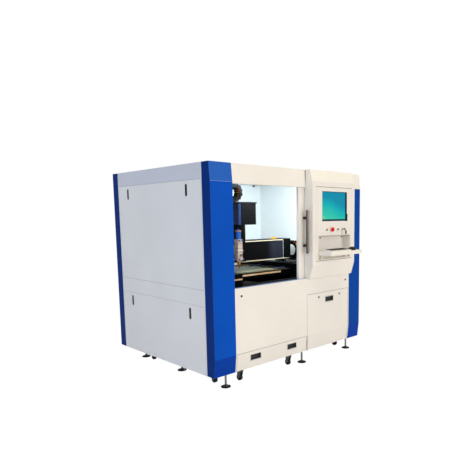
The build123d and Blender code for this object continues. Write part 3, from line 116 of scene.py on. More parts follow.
def bump(tree, height, strength, distance, before=None):
    node = tree.nodes.new("ShaderNodeBump")
    node.inputs["Strength"].default_value = strength
    node.inputs["Distance"].default_value = distance
    tree.links.new(height, node.inputs["Height"])
    if before is not None:
        tree.links.new(before, node.inputs["Normal"])
    return node.outputs["Normal"]


def rounded(tree, radius):
    node = tree.nodes.new("ShaderNodeBevel")
    node.samples = 4
    node.inputs["Radius"].default_value = radius
    return node.outputs["Normal"]


def mixed(tree, fac, first, second):
    """The first colour where fac is 0 and the second where it is 1; either may be a socket."""
    node = tree.nodes.new("ShaderNodeMix")
    node.data_type = "RGBA"
    tree.links.new(fac, node.inputs["Factor"])
    for name, value in (("A", first), ("B", second)):
        socket = next(i for i in node.inputs if i.name == name and i.type == "RGBA")
        if isinstance(value, tuple):
            socket.default_value = value
        else:
            tree.links.new(value, socket)
    return next(o for o in node.outputs if o.type == "RGBA")


def along(tree, coords, start, end):
    """0 at one point of the row frame and 1 at another, for a gradient between them."""
    way = Vector(end) - Vector(start)
    less = tree.nodes.new("ShaderNodeVectorMath")
    less.operation = "SUBTRACT"
    less.inputs[1].default_value = start
    tree.links.new(coords, less.inputs[0])
    dot = tree.nodes.new("ShaderNodeVectorMath")
    dot.operation = "DOT_PRODUCT"
    dot.inputs[1].default_value = way / way.length_squared
    tree.links.new(less.outputs["Vector"], dot.inputs[0])
    return dot.outputs["Value"]


def edge_wear_and_highlight(tree, radius):
    """Pale on the edges: wear where a hand or a cloth reaches first, and a painted highlight where edges
    catch the light.
    """
    low, high = 0.9, 0.995
    geometry = tree.nodes.new("ShaderNodeNewGeometry")
    dot = tree.nodes.new("ShaderNodeVectorMath")
    dot.operation = "DOT_PRODUCT"
    tree.links.new(rounded(tree, radius), dot.inputs[0])
    tree.links.new(geometry.outputs["True Normal"], dot.inputs[1])
    return ramp(tree, dot.outputs["Value"], [(low, (1, 1, 1, 1)), (high, (0, 0, 0, 1))])


def powder_coat(name, color, rough=0.42, coat=0.1, tone=0.03, gloss=0.4):
    """Baked powder paint: fine orange peel, a slight drift of tone, soft folded edges."""
    edge = 0.0015
    mat, tree, bsdf, coords = new_material(name)
    drift = noise(tree, coords, 2.2, 3.0)
    body = ramp(tree, drift, [(0.3, shade(color, 1 - tone)), (0.7, shade(color, 1 + tone))])
    # Pale edges: edge wear and a painted edge highlight
    pale = tuple(c + 0.12 * (1 - c) for c in color[:3]) + (1.0,)
    tree.links.new(mixed(tree, edge_wear_and_highlight(tree, edge), body, pale), bsdf.inputs["Base Color"])
    peel = noise(tree, coords, 420.0, 2.0)
    normal = bump(tree, peel, 0.12, 0.0006, rounded(tree, edge))
    tree.links.new(normal, bsdf.inputs["Normal"])
    smear = noise(tree, coords, 5.0, 4.0, 0.6)
    tree.links.new(
        ramp(tree, smear, [(0.3, (rough - 0.05,) * 3 + (1,)), (0.7, (rough + 0.06,) * 3 + (1,))]),
        bsdf.inputs["Roughness"],
    )
    bsdf.inputs["Coat Weight"].default_value = coat
    bsdf.inputs["Coat Roughness"].default_value = 0.25
    bsdf.inputs["Specular IOR Level"].default_value = gloss
    return mat


def brushed(name, color, rough, direction, metallic=1.0, gloss=0.5):
    """Brushed or rolled metal: long fine streaks along one direction."""
    mat, tree, bsdf, coords = new_material(name)
    long, fine = 4, 300
    scale = tuple(long if axis == direction else fine for axis in "xyz")
    streak = noise(tree, scaled(tree, coords, scale), 1.0, 3.0)
    tree.links.new(
        ramp(tree, streak, [(0.25, shade(color, 0.85)), (0.75, shade(color, 1.1))]),
        bsdf.inputs["Base Color"],
    )
    tree.links.new(
        ramp(tree, streak, [(0.2, (rough - 0.08,) * 3 + (1,)), (0.8, (rough + 0.1,) * 3 + (1,))]),
        bsdf.inputs["Roughness"],
    )
    tree.links.new(bump(tree, streak, 0.15, 0.0003, rounded(tree, 0.0008)), bsdf.inputs["Normal"])
    bsdf.inputs["Metallic"].default_value = metallic
    bsdf.inputs["Specular IOR Level"].default_value = gloss
    return mat


def moulded(name, color, rough, edge=0.001, gloss=0.5):
    """Moulded plastic or rubber with a fine spark-eroded grain."""
    grain = 0.0003
    mat, tree, bsdf, coords = new_material(name)
    grains = noise(tree, coords, 1100.0, 2.0)
    tree.links.new(
        ramp(tree, noise(tree, coords, 30.0, 3.0), [(0.3, shade(color, 0.92)), (0.7, shade(color, 1.08))]),
        bsdf.inputs["Base Color"],
    )
    tree.links.new(bump(tree, grains, 0.2, grain, rounded(tree, edge)), bsdf.inputs["Normal"])
    bsdf.inputs["Roughness"].default_value = rough
    bsdf.inputs["Specular IOR Level"].default_value = gloss
    return mat


def glass_material(name):
    """Safety glass with a green cast and a light smear."""
    mat, tree, bsdf, coords = new_material(name)
    tint = noise(tree, coords, 1.5, 2.0)
    smear = noise(tree, coords, 9.0, 4.0)
    bsdf.inputs["Transmission Weight"].default_value = 0.9
    bsdf.inputs["IOR"].default_value = 1.45
    tree.links.new(
        ramp(tree, tint, [(0.3, linear(176, 214, 205)), (0.7, linear(188, 224, 214))]),
        bsdf.inputs["Base Color"],
    )
    tree.links.new(
        ramp(tree, smear, [(0.35, (0.03, 0.03, 0.03, 1)), (0.75, (0.1, 0.1, 0.1, 1))]),
        bsdf.inputs["Roughness"],
    )
    return mat


BLUE = powder_coat("blue_powder_coat", linear(0, 80, 190), coat=0.0, tone=0.05, gloss=0.06)
# The column blue made lighter for the top facet: painted light where the tilted facet catches more of the
# lamps
BLUE_TOP_LIT = powder_coat("blue_top_facet_painted_light", linear(20, 92, 188), coat=0.0, tone=0.05, gloss=0.2)
# The column blue made darker for the foot facet, which leans down away from the lamps: painted shade
BLUE_FOOT_SHADED = powder_coat("blue_foot_facet_painted_shade", linear(0, 62, 168), coat=0.0, tone=0.05, gloss=0.06)
# The same column blue, darker for the right column's front: painted shade
BLUE_RIGHT_SHADED = powder_coat("blue_right_column_painted_shade", linear(0, 68, 162), coat=0.0, tone=0.05, gloss=0.06)
# The side's white made darker and bluer for the top band of the left side: painted shade
BAND = powder_coat("side_band_painted_shade", linear(201, 207, 223))
# A pale blue painted highlight for the edge where the column's facets meet
JOINT_HIGHLIGHT = powder_coat("joint_painted_highlight", linear(110, 150, 210), coat=0.0)
# The column blue made dark for the columns' sides and the rear columns: painted shade
BLUE_SIDE_SHADED = powder_coat("blue_coat_painted_shade", linear(0, 46, 122), coat=0.0, tone=0.05, gloss=0.05)
WHITE = powder_coat("white_powder_coat", linear(240, 236, 230))
# The white paint again, a little darker and cooler: painted cool shade for the sides, the roof and the
# back
SIDE = powder_coat("side_white_painted_cool_shade", linear(224, 227, 233))
LINER = powder_coat("chamber_paint", linear(238, 246, 248), rough=0.5)
TUBE = powder_coat("tube_paint", linear(150, 154, 160), rough=0.5)
BLACK = powder_coat("black_powder_coat", linear(5, 5, 7), coat=0.0, tone=0.2, gloss=0.05)
MOTOR = powder_coat("motor_paint", linear(22, 44, 88), rough=0.45, coat=0.0, tone=0.2, gloss=0.2)
ZINC = brushed("zinc_plated_steel", linear(150, 152, 158), rough=0.35, direction="z")
BRIGHT = brushed("ground_steel", linear(205, 212, 220), rough=0.22, direction="y")
# Steel with a blue cast: a painted reflection of cool light, used on the tracks, the sill, the beam's end
# and the clamp tops
STEEL_BLUE_REFLECTION = brushed("steel_painted_blue_reflection", linear(104, 138, 190), rough=0.3, direction="x", metallic=0.4)
STAINLESS = brushed("handle_stainless", linear(176, 146, 118), rough=0.25, direction="z", metallic=0.6)
# The handle's metal made dark and grey for its left-facing sides: painted shade
HANDLE_SIDE_SHADED = brushed("handle_side_painted_shade", linear(74, 80, 90), rough=0.3, direction="z", metallic=0.6)
SLAT = brushed("slat_steel", linear(150, 125, 95), rough=0.5, direction="y")
ANODISED = brushed("black_anodised", linear(7, 7, 9), rough=0.5, direction="z", metallic=0.0, gloss=0.08)
HEAD = brushed("head_aluminium", linear(226, 206, 190), rough=0.35, direction="z", metallic=0.3)
COPPER = brushed("nozzle_copper", linear(205, 160, 105), rough=0.25, direction="z")
RUBBER = moulded("wheel_rubber", linear(26, 26, 27), rough=0.6)
BLACK_PLASTIC = moulded("black_plastic", linear(11, 11, 13), rough=0.38, gloss=0.35)
CHAIN = moulded("chain_plastic", linear(6, 6, 7), rough=0.55, gloss=0.08)
LIGHT_PLASTIC = moulded("light_plastic", linear(232, 230, 224), rough=0.42)
RED = moulded("red_plastic", linear(228, 10, 4), rough=0.3, gloss=0.2)
YELLOW = moulded("yellow_plastic", linear(244, 200, 24), rough=0.35)
GREY_PLASTIC = moulded("grey_plastic", linear(76, 68, 54), rough=0.3)
GREEN_PLASTIC = moulded("green_plastic", linear(62, 70, 22), rough=0.3)
CONNECTOR = moulded("connector_blue", linear(20, 104, 226), rough=0.25)
ORANGE = moulded("orange_ring", linear(214, 140, 44), rough=0.35)
WHITE_PLASTIC = moulded("white_plastic", linear(240, 240, 236), rough=0.35)
BLUE_SCREW = moulded("blue_screw", linear(20, 60, 150), rough=0.3)
KEY_CAP = moulded("key_cap", linear(40, 40, 44), rough=0.5, edge=0.0006)
CABLE_GREEN = moulded("cable_green", linear(30, 150, 70), rough=0.4)
CABLE_ORANGE = moulded("cable_orange", linear(240, 120, 20), rough=0.4)
# Dark bronze for locks, posts, collars and the dial's hand; also the painted shade of the head's grooves
BRONZE_AND_GROOVE_SHADE = brushed("lock_bronze_and_groove_shade", linear(74, 62, 50), rough=0.35, direction="z")
PULL_CUP_SHADE = powder_coat("pull_shadow", linear(46, 46, 50), rough=0.6)
CREAM = powder_coat("cream_strip", linear(222, 206, 174), rough=0.4)
GAP_SHADE = powder_coat("seam_shadow", linear(30, 30, 34), rough=0.7, coat=0.0, gloss=0.1)
GLASS = glass_material("window_glass")


def paint(node, material, parts=()):
    """Gives a CAD node its material, and others where a test on a face's middle and normal holds."""
    mesh = nodes[node].data
    mesh.materials.clear()
    mesh.materials.append(material)
    for extra, test in parts:
        mesh.materials.append(extra)
    for face in mesh.polygons:
        face.material_index = 0
        middle = face.center
        place = (
            middle.x * 1000 + BODY_WIDTH / 2,
            middle.y * 1000 - FRONT_Y,
            middle.z * 1000,
        )
        for index, (extra, test) in enumerate(parts, start=1):
            if test(place, face.normal):
                face.material_index = index


openings = {item["name"]: item["box_m"] for item in frame["record"]["physics"]["openings"]}


def in_opening(name, grow):
    """A test for faces inside or just round one of the record's openings."""
    low, high = openings[name]
    low_mm = (low[0] * 1000 + BODY_WIDTH / 2 - grow, low[2] * 1000 - grow)
    high_mm = (high[0] * 1000 + BODY_WIDTH / 2 + grow, high[2] * 1000 + grow)
    return lambda p, n: low_mm[0] < p[0] < high_mm[0] and low_mm[1] < p[2] < high_mm[1]


def pull_parts(*names):
    """Plated frames round recessed pulls, and painted shade in their cups."""
    frames = [in_opening(name, 9) for name in names]
    cups = [in_opening(name, 3) for name in names]
    return [
        (BRIGHT, lambda p, n: p[1] < 30 and any(test(p, n) for test in frames)),
        (PULL_CUP_SHADE, lambda p, n: 0.6 < p[1] < 30 and any(test(p, n) for test in cups)),
    ]


PLAIN = {
    "base_frame": TUBE,
    "caster_forks": ZINC,
    "column_cap_right": WHITE,
    # The rear columns: the column blue with painted shade
    "columns_rear": BLUE_SIDE_SHADED,
    # The roof, side panels, rear panels and laser source here take the white with painted cool shade
    "roof_panel": SIDE,
    "header": WHITE,
    "console_back_panel": WHITE,
    "side_panels_right": SIDE,
    "side_panel_left_upper": SIDE,
    "side_panel_left_lower": SIDE,
    "rear_panels": SIDE,
    # The door tracks: steel with a painted blue reflection
    "door_tracks": STEEL_BLUE_REFLECTION,
    "console_housing": WHITE,
    "monitor": BLACK_PLASTIC,
    "laser_source": SIDE,
    "sliding_door": WHITE,
    "door_window": GLASS,
    "keyboard_flap": WHITE,
    "keyboard": LIGHT_PLASTIC,
    "mouse": BLACK_PLASTIC,
    "emergency_stop": RED,
    "button_grey": GREY_PLASTIC,
    "button_green": GREEN_PLASTIC,
    "key_switch": ZINC,
    "cable_chain_y": CHAIN,
    "carriage": ANODISED,
    "z_motor": MOTOR,
    "cable_chain_x": CHAIN,
    "beam_bellows": RUBBER,
    "z_plate": ANODISED,
    "nozzle": COPPER,
}
for plain_node, plain_material in PLAIN.items():
    paint(plain_node, plain_material)
paint("levelling_feet", ZINC, [(BLACK_PLASTIC, lambda p, n: p[2] < 10)])
for number in range(1, 5):
    paint(f"caster_wheel_{number}", RUBBER)
# The right column's front takes the darker copy of the blue: painted shade
for side, front in (("left", BLUE), ("right", BLUE_RIGHT_SHADED)):
    paint(f"column_front_{side}", front, [
        # Top facet: painted light
        (BLUE_TOP_LIT, lambda p, n: n[2] > 0.01 and n[1] < -0.5),
        # Foot facet: painted shade
        (BLUE_FOOT_SHADED, lambda p, n: n[2] < -0.01 and n[1] < -0.5),
        # Sides: painted shade
        (BLUE_SIDE_SHADED, lambda p, n: abs(n[0]) > 0.9),
    ])
paint("front_frame", WHITE, [
    # Top faces: steel with a painted blue reflection along the sill
    (STEEL_BLUE_REFLECTION, lambda p, n: n[2] > 0.9 and p[2] > 860),
    # Edge faces round the openings: painted gap shade
    (GAP_SHADE, lambda p, n: abs(n[1]) < 0.3 and p[1] < 30 and p[2] < 860),
    (BRONZE_AND_GROOVE_SHADE, lambda p, n: p[1] < -0.1),
])
# The panel's edge faces: painted gap shade
paint("lower_front_panel", WHITE, [(GAP_SHADE, lambda p, n: abs(n[1]) < 0.3)])
# The side frames take the white with painted cool shade, and their top band a deeper painted shade
paint("side_frames", SIDE, [(BAND, lambda p, n: p[2] > 1768 and n[0] < -0.5)])
paint("chamber_liner", LINER, [(BLACK, lambda p, n: n[2] > 0.9 and p[2] < 760)])
paint("machine_bed", BLACK, [(BRIGHT, lambda p, n: 951 < p[2] < 978 and p[0] < 1660)])
paint("console_panel", WHITE, [
    (BRONZE_AND_GROOVE_SHADE, lambda p, n: (
        -3 < p[1] < -0.2 and abs(p[2] - 1249) < 9
        and min(abs(p[0] - 1321), abs(p[0] - 1661)) < 9
    )),
])
paint("door_handle", STAINLESS, [
    # Left-facing sides: painted shade
    (HANDLE_SIDE_SHADED, lambda p, n: n[0] < -0.3),
    (BRONZE_AND_GROOVE_SHADE, lambda p, n: p[1] > -19),
])
paint("slag_cart", WHITE, pull_parts("cart_pull_left", "cart_pull_right"))
for side in ("left", "right"):
    paint(f"cart_fork_{side}", ZINC)
    paint(f"cart_wheel_{side}", RUBBER)
paint("lower_door", WHITE, [(BRONZE_AND_GROOVE_SHADE, lambda p, n: p[1] < -0.1)] + pull_parts("service_door_pull"))
for level in ("upper", "lower"):
    for place in ("front", "rear"):
        paint(f"latch_{level}_{place}", BLACK_PLASTIC)
paint("gantry_beam", BLACK, [
    (CREAM, lambda p, n: p[1] < 745 and 440 < p[0] < 1540 and (p[2] < 1001 or 1198 < p[2] < 1210)),
    # The beam's end faces: steel with a painted blue reflection
    (STEEL_BLUE_REFLECTION, lambda p, n: abs(n[0]) > 0.9 and 1538 < p[0] < 1542 and p[1] < 790),
])
paint("cutting_head", HEAD, [
    (BLUE_SCREW, lambda p, n: (
        p[1] < 584 and math.hypot(abs(p[0] - HEAD_X) - UPPER_SCREW, p[2] - UPPER_LEVEL) < 7
    )),
    (BLUE_SCREW, lambda p, n: (
        p[1] < 584 and p[2] < 1060 and abs(abs(p[0] - HEAD_X) - LOWER_SCREW) < 7
    )),
])
paint("fibre_connector", CONNECTOR, [
    (ORANGE, lambda p, n: p[2] < 1342 and abs(math.hypot(p[0] - HEAD_X, p[1] - 615) - 28) < 1.5),
    (BLACK_PLASTIC, lambda p, n: p[2] > 1343),
])

# Soft and graded materials

def bellows_cloth(name):
    """Coated cloth, darker in the folds, with a painted sheen that greys it towards the right end of the
    beam.
    """
    mat, tree, bsdf, coords = new_material(name)
    reach = along(tree, coords, at(1300, 0, 0), at(1380, 0, 0))
    weave = noise(tree, scaled(tree, coords, (900, 900, 300)), 1.0, 2.0)
    dark = ramp(tree, weave, [(0.3, linear(8, 8, 10)), (0.7, linear(20, 20, 24))])
    # The greyer cloth towards the right end: a painted sheen
    grey = ramp(tree, weave, [(0.35, linear(20, 22, 30)), (0.65, linear(56, 60, 74))])
    tree.links.new(mixed(tree, reach, dark, grey), bsdf.inputs["Base Color"])
    tree.links.new(bump(tree, weave, 0.3, 0.0005), bsdf.inputs["Normal"])
    bsdf.inputs["Roughness"].default_value = 0.7
    bsdf.inputs["Specular IOR Level"].default_value = 0.08
    return mat


def screen_picture(name):
    """A lit screen: teal above, green light from the lower left, a dark bar along the foot."""
    mat, tree, bsdf, coords = new_material(name)
    left, _, foot, top = SCREEN
    slope = along(tree, coords, at(left, 0, foot), at(left + 90, 0, top))
    cloud = noise(tree, scaled(tree, coords, (6, 6, 2.5)), 1.0, 2.0)
    glow = tree.nodes.new("ShaderNodeMath")
    glow.operation = "MULTIPLY_ADD"
    glow.inputs[1].default_value = 0.35
    tree.links.new(cloud, glow.inputs[0])
    tree.links.new(slope, glow.inputs[2])
    sky = ramp(tree, glow.outputs[0], [
        (0.15, linear(150, 222, 150)), (0.4, linear(50, 200, 170)),
        (0.8, linear(0, 172, 180)), (1.0, linear(0, 140, 170)),
    ])
    bar = along(tree, coords, at(left, 0, foot + 14), at(left, 0, foot + 16))
    tree.links.new(mixed(tree, bar, linear(12, 62, 76), sky), bsdf.inputs["Emission Color"])
    bsdf.inputs["Emission Strength"].default_value = 1.0
    bsdf.inputs["Base Color"].default_value = (0.004, 0.006, 0.007, 1)
    bsdf.inputs["Specular IOR Level"].default_value = 0.1
    bsdf.inputs["Roughness"].default_value = 0.3
    return mat


def cut_sheet(name):
    """Rolled sheet with turned streaks about a bright spot under the head."""
    mat, tree, bsdf, coords = new_material(name)
    turn = tree.nodes.new("ShaderNodeMapping")
    turn.inputs["Location"].default_value = -at(905, 830, 0)
    tree.links.new(coords, turn.inputs["Vector"])
    angle = tree.nodes.new("ShaderNodeTexGradient")
    angle.gradient_type = "RADIAL"
    tree.links.new(turn.outputs["Vector"], angle.inputs["Vector"])
    streak = noise(tree, angle.outputs["Fac"], 110.0, 5.0, 0.7)
    spot = tree.nodes.new("ShaderNodeVectorMath")
    spot.operation = "LENGTH"
    tree.links.new(turn.outputs["Vector"], spot.inputs[0])
    body = ramp(tree, streak, [
        (0.4, linear(34, 36, 24)), (0.5, linear(100, 104, 80)), (0.6, linear(190, 192, 160)),
    ])
    near = ramp(tree, spot.outputs["Value"], [(0.0, (1, 1, 1, 1)), (0.05, (0, 0, 0, 1))])
    tree.links.new(mixed(tree, near, body, linear(235, 242, 230)), bsdf.inputs["Base Color"])
    bsdf.inputs["Roughness"].default_value = 0.45
    bsdf.inputs["Specular IOR Level"].default_value = 0.15
    return mat


def slat_ends(name):
    """Scorched slat ends along the front bar: cream steel with orange heat marks."""
    mat, tree, bsdf, coords = new_material(name)
    mark = noise(tree, scaled(tree, coords, (26, 1, 1)), 1.0, 3.0, 0.7)
    scorch = ramp(tree, mark, [
        (0.3, linear(240, 224, 190)), (0.5, linear(226, 168, 104)),
        (0.6, linear(240, 222, 186)), (0.75, linear(214, 140, 80)),
    ])
    tree.links.new(scorch, bsdf.inputs["Base Color"])
    bsdf.inputs["Roughness"].default_value = 0.5
    return mat


# The screen shows inside the bezel: left, right, foot and top
SCREEN = (1259, 1628, 1418, 1697)
BELLOWS = bellows_cloth("bellows_cloth")
PICTURE = screen_picture("screen_picture")
SHEET = cut_sheet("cut_sheet")
SLAT_ENDS = slat_ends("slat_ends")
paint("metal_sheet", SHEET)
paint("cutting_table", SLAT, [
    (BLACK, lambda p, n: p[1] < 556 or p[0] > 1436 or p[0] < 546),
    (BLACK, lambda p, n: p[0] > 1315 and p[2] > 892),
    # Clamp tops: a painted bluish highlight on the dark clamps
    (STEEL_BLUE_REFLECTION, lambda p, n: p[0] > 1315 and p[2] > 903 and n[2] > 0.9),
])


# Mesh pieces

def new_piece(name, mesh_data, materials, body=None, smooth=False):
    """A finished piece, riding on a body if one is given."""
    mesh = bpy.data.meshes.new(name)
    mesh_data.to_mesh(mesh)
    mesh_data.free()
    for material in materials:
        mesh.materials.append(material)
    if smooth:
        for face in mesh.polygons:
            face.use_smooth = True
    obj = bpy.data.objects.new(name, mesh)
    bpy.context.collection.objects.link(obj)
    if body is not None:
        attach(obj, body)
    return obj


BOX_SIDES = ((0, 2, 3, 1), (4, 5, 7, 6), (0, 1, 5, 4), (2, 6, 7, 3), (0, 4, 6, 2), (1, 3, 7, 5))


def box_faces(mesh, corners):
    return [mesh.faces.new([corners[i] for i in side]) for side in BOX_SIDES]


def bridge(mesh, rings):
    """Walls between following rings of points, and a cap at each end."""
    faces = []
    for ring, following in zip(rings, rings[1:]):
        for step in range(len(ring)):
            ahead = (step + 1) % len(ring)
            faces.append(mesh.faces.new([ring[step], ring[ahead], following[ahead], following[step]]))
    faces.append(mesh.faces.new(rings[0][::-1]))
    faces.append(mesh.faces.new(rings[-1]))
    return faces


def slab(mesh, low, high, bevel, material=0):
    """A plate between two corners in millimetres, its edges rounded."""
    corners = [
        mesh.verts.new(Vector((x, y, z)))
        for z in (low[2], high[2]) for y in (low[1], high[1]) for x in (low[0], high[0])
    ]
    faces = box_faces(mesh, corners)
    edges = {edge for face in faces for edge in face.edges}
    result = bmesh.ops.bevel(mesh, geom=list(edges), offset=bevel, segments=2, profile=0.5, affect="EDGES")
    made = {f for f in result["faces"]} | {f for f in faces if f.is_valid}
    settle(made, material)


def settle(faces, material):
    """Gives new faces their material and moves their points from millimetres to the row frame."""
    for vert in {v for face in faces for v in face.verts}:
        vert.co = at(*vert.co)
    for face in faces:
        face.material_index = material


def turned(mesh, centre, axis, outline, material=0, sides=24):
    """A turned part: (radius, distance along the axis) pairs about a point, in millimetres."""
    axis = Vector(axis).normalized()
    first = axis.orthogonal().normalized()
    second = axis.cross(first)
    rings = []
    for radius, reach in outline:
        ring = []
        for step in range(sides):
            turn = 2 * math.pi * step / sides
            spoke = first * math.cos(turn) + second * math.sin(turn)
            ring.append(mesh.verts.new(Vector(centre) + axis * reach + spoke * radius))
        rings.append(ring)
    settle(bridge(mesh, rings), material)


def tube(mesh, points, radius, material=0, sides=8):
    """A round cable along points in millimetres."""
    points = [Vector(point) for point in points]
    rings = []
    side = None
    for index, point in enumerate(points):
        ahead = points[min(index + 1, len(points) - 1)] - points[max(index - 1, 0)]
        ahead.normalize()
        side = ahead.orthogonal() if side is None else side - ahead * side.dot(ahead)
        side.normalize()
        other = ahead.cross(side)
        rings.append([
            mesh.verts.new(point + (side * math.cos(turn) + other * math.sin(turn)) * radius)
            for turn in (2 * math.pi * step / sides for step in range(sides))
        ])
    settle(bridge(mesh, rings), material)


# Cable chains: links along a run or round a bend, with coloured cables between their bars

CHAIN_THICKNESS = 44
SIDE_PLATE = 4.0
PLATE_EDGE = 4
END_SETBACK, END_REACH = 8, 12
END_STEPS = 6
BAR_DEPTH, BAR_INSET, BAR_SHARE = 5, 2, 0.15
JOGGLE = 4
CABLE_RADIUS, CABLE_MARGIN = 7.0, 22
CABLES = (CABLE_GREEN, YELLOW, CABLE_ORANGE, RED)


def run_places(start, end, outward, count):
    """Middles and directions of links on a straight run."""
    start, end = Vector(start), Vector(end)
    forward = (end - start).normalized()
    return [
        (start + (end - start) * (number + 0.5) / count, forward, Vector(outward))
        for number in range(count)
    ]


def bend_places(centre, radius, first, second, count):
    """Middles and directions of links round half a turn, from first past second to its far side."""
    first, second = Vector(first), Vector(second)
    places = []
    for number in range(count):
        turn = math.pi * (number + 0.5) / count
        outward = first * math.cos(turn) + second * math.sin(turn)
        forward = second * math.cos(turn) - first * math.sin(turn)
        places.append((Vector(centre) + outward * radius, forward, outward))
    return places


def link(mesh, place, width, pitch, joggle):
    """One link: two side plates with round ends, and the bars that hold the cables in."""
    middle, forward, outward = place
    across = forward.cross(outward)

    def seat(u, v, w):
        return at(*(middle + forward * u + outward * v + across * w))

    half = CHAIN_THICKNESS / 2
    for side in (-1, 1):
        inner = width / 2 - SIDE_PLATE - joggle
        outline = []
        for end in (-1, 1):
            for step in range(END_STEPS + 1):
                turn = math.pi * (step / END_STEPS - 0.5)
                outline.append((
                    end * (pitch / 2 - END_SETBACK + END_REACH * math.cos(turn)),
                    end * (half - PLATE_EDGE) * math.sin(turn),
                ))
        near = [mesh.verts.new(seat(u, v, side * inner)) for u, v in outline]
        far = [mesh.verts.new(seat(u, v, side * (inner + SIDE_PLATE))) for u, v in outline]
        bridge(mesh, [near, far])
    bar_half = pitch * BAR_SHARE
    reach = width / 2 - BAR_INSET
    for v0, v1 in ((half - BAR_DEPTH, half), (-half, -half + BAR_DEPTH)):
        box_faces(mesh, [
            mesh.verts.new(seat(u, v, w))
            for w in (-reach, reach) for v in (v0, v1) for u in (-bar_half, bar_half)
        ])


def chain(name, node, places, width, start, end):
    """A stretch of chain with its cables, between the middles of its ends."""
    mesh = bmesh.new()
    pitch = (places[1][0] - places[0][0]).length
    for number, place in enumerate(places):
        link(mesh, place, width, pitch, joggle=0 if number % 2 else JOGGLE)
    route = [start] + [place[0] for place in places] + [end]
    across = places[0][1].cross(places[0][2])
    for number in range(len(CABLES)):
        offset = (number - (len(CABLES) - 1) / 2) * (width - CABLE_MARGIN) / len(CABLES)
        tube(mesh, [Vector(point) + across * offset for point in route], CABLE_RADIUS, material=number + 1)
    bmesh.ops.recalc_face_normals(mesh, faces=mesh.faces)
    obj = new_piece(name, mesh, (CHAIN,) + CABLES)
    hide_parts(node)
    return obj


def halfway(obj, travel):
    """A bend rolls half as far as the piece that pulls it; here its place is only baked into its mesh."""
    sideways = Vector(travel).orthogonal() * 100
    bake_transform(obj)


def chain_on_cover():
    """The chain over the cover box, fixed to the post at the left and to the carriage's tray."""
    left, bend, right_y, radius = 362, 669, 542, 68
    low, high, foot = 1628, 1764, 419
    width = 84
    upper = chain(
        "cover_chain_upper_run", "cable_chain_x",
        run_places((left, right_y, high), (bend, right_y, high), (0, 0, 1), 8),
        width, (left - 20, right_y, high), (bend, right_y, high),
    )
    turn = chain(
        "cover_chain_bend", "cable_chain_x",
        bend_places((bend, right_y, low + radius), radius, (0, 0, 1), (1, 0, 0), 6),
        width, (bend, right_y, high), (bend, right_y, low),
    )
    lower = chain(
        "cover_chain_lower_run", "cable_chain_x",
        run_places((bend, right_y, low), (foot, right_y, low), (0, 0, -1), 6),
        width, (bend, right_y, low), (foot, right_y, low),
    )
    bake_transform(upper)
    halfway(turn, (1, 0, 0))
    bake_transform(lower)


def chain_on_shelf():
    """The chain beside the bed, fixed to its rear end and to the gantry's bracket."""
    rear, bend, place_x, radius = 1400, 780, 1743, 85
    low, high, front = 992, 1162, 860
    width = 66
    lower = chain(
        "shelf_chain_lower_run", "cable_chain_y",
        run_places((place_x, rear, low), (place_x, bend, low), (0, 0, -1), 15),
        width, (place_x, rear + 10, low), (place_x, bend, low),
    )
    turn = chain(
        "shelf_chain_bend", "cable_chain_y",
        bend_places((place_x, bend, low + radius), radius, (0, 0, -1), (0, -1, 0), 7),
        width, (place_x, bend, low), (place_x, bend, high),
    )
    upper = chain(
        "shelf_chain_upper_run", "cable_chain_y",
        run_places((place_x, bend, high), (place_x, front, high), (0, 0, 1), 2),
        width, (place_x, bend, high), (place_x, front - 2, high),
    )
    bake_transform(lower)
    halfway(turn, (0, 1, 0))
    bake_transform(upper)


chain_on_cover()
chain_on_shelf()


# Bellows over the rails of the beam

FOLD, FOLD_PITCH, FOLD_LEAN = 7, 14, 0.6


def bellows(name, x_start, x_end):
    """Pleated cloth in front of the beam between two places along it."""
    front, rear, foot, top = 738.5, 763.5, 1002, 1197
    count = 2 * round(abs(x_end - x_start) / FOLD_PITCH)
    mesh = bmesh.new()
    rings = []
    for number in range(count + 1):
        x = x_start + (x_end - x_start) * number / count
        inset = 0 if number % 2 else FOLD
        low, high, near = foot + inset * FOLD_LEAN, top - inset * FOLD_LEAN, front + inset
        rings.append([
            mesh.verts.new(at(x, y, z))
            for y, z in ((near, low), (near, high), (rear, high), (rear, low))
        ])
    bridge(mesh, rings)
    bmesh.ops.recalc_face_normals(mesh, faces=mesh.faces)
    obj = new_piece(name, mesh, [BELLOWS])
    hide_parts("beam_bellows")
    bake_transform(obj)


bellows("bellows_left", 440, 720)
bellows("bellows_right", 950, 1540)


# Console: the lit screen, the keys, the mouse wheel and the key's tag

def screen():
    """The lit glass on the floor of the monitor's bezel."""
    left, right, foot, top = SCREEN
    floor_y = -72
    mesh = bmesh.new()
    slab(mesh, (left + 1, floor_y - 1.5, foot + 1), (right - 1, floor_y, top - 1), bevel=0.5)
    new_piece("screen", mesh, [PICTURE], "machine")


def keyboard_keys():
    """Five rows of caps over the keyboard, with wide keys at the ends and a space bar."""
    left, right = 1246, 1528
    front, depth, rows = -218, 98, 5
    pitch = depth / rows
    seat, slope, near_edge = 1134, 12 / 116, -227
    end_gap, row_gap = 1.2, 3
    letters = [1.6] + [1.0] * 12 + [1.8]
    space_bar = [1.4, 1.1, 1.1, 6.2, 1.1, 1.1, 1.4, 1.0]
    mesh = bmesh.new()
    for row in range(rows):
        y = front + row * pitch
        z = seat + slope * (y - near_edge)
        widths = letters if row else space_bar
        unit = (right - left) / sum(widths)
        x = left
        for width in widths:
            slab(
                mesh, (x + end_gap, y + row_gap / 2, z - 1.5),
                (x + width * unit - end_gap, y + pitch - row_gap, z + 2.5), bevel=0.8,
            )
            x += width * unit
    new_piece("keyboard_keys", mesh, [KEY_CAP], "flap")


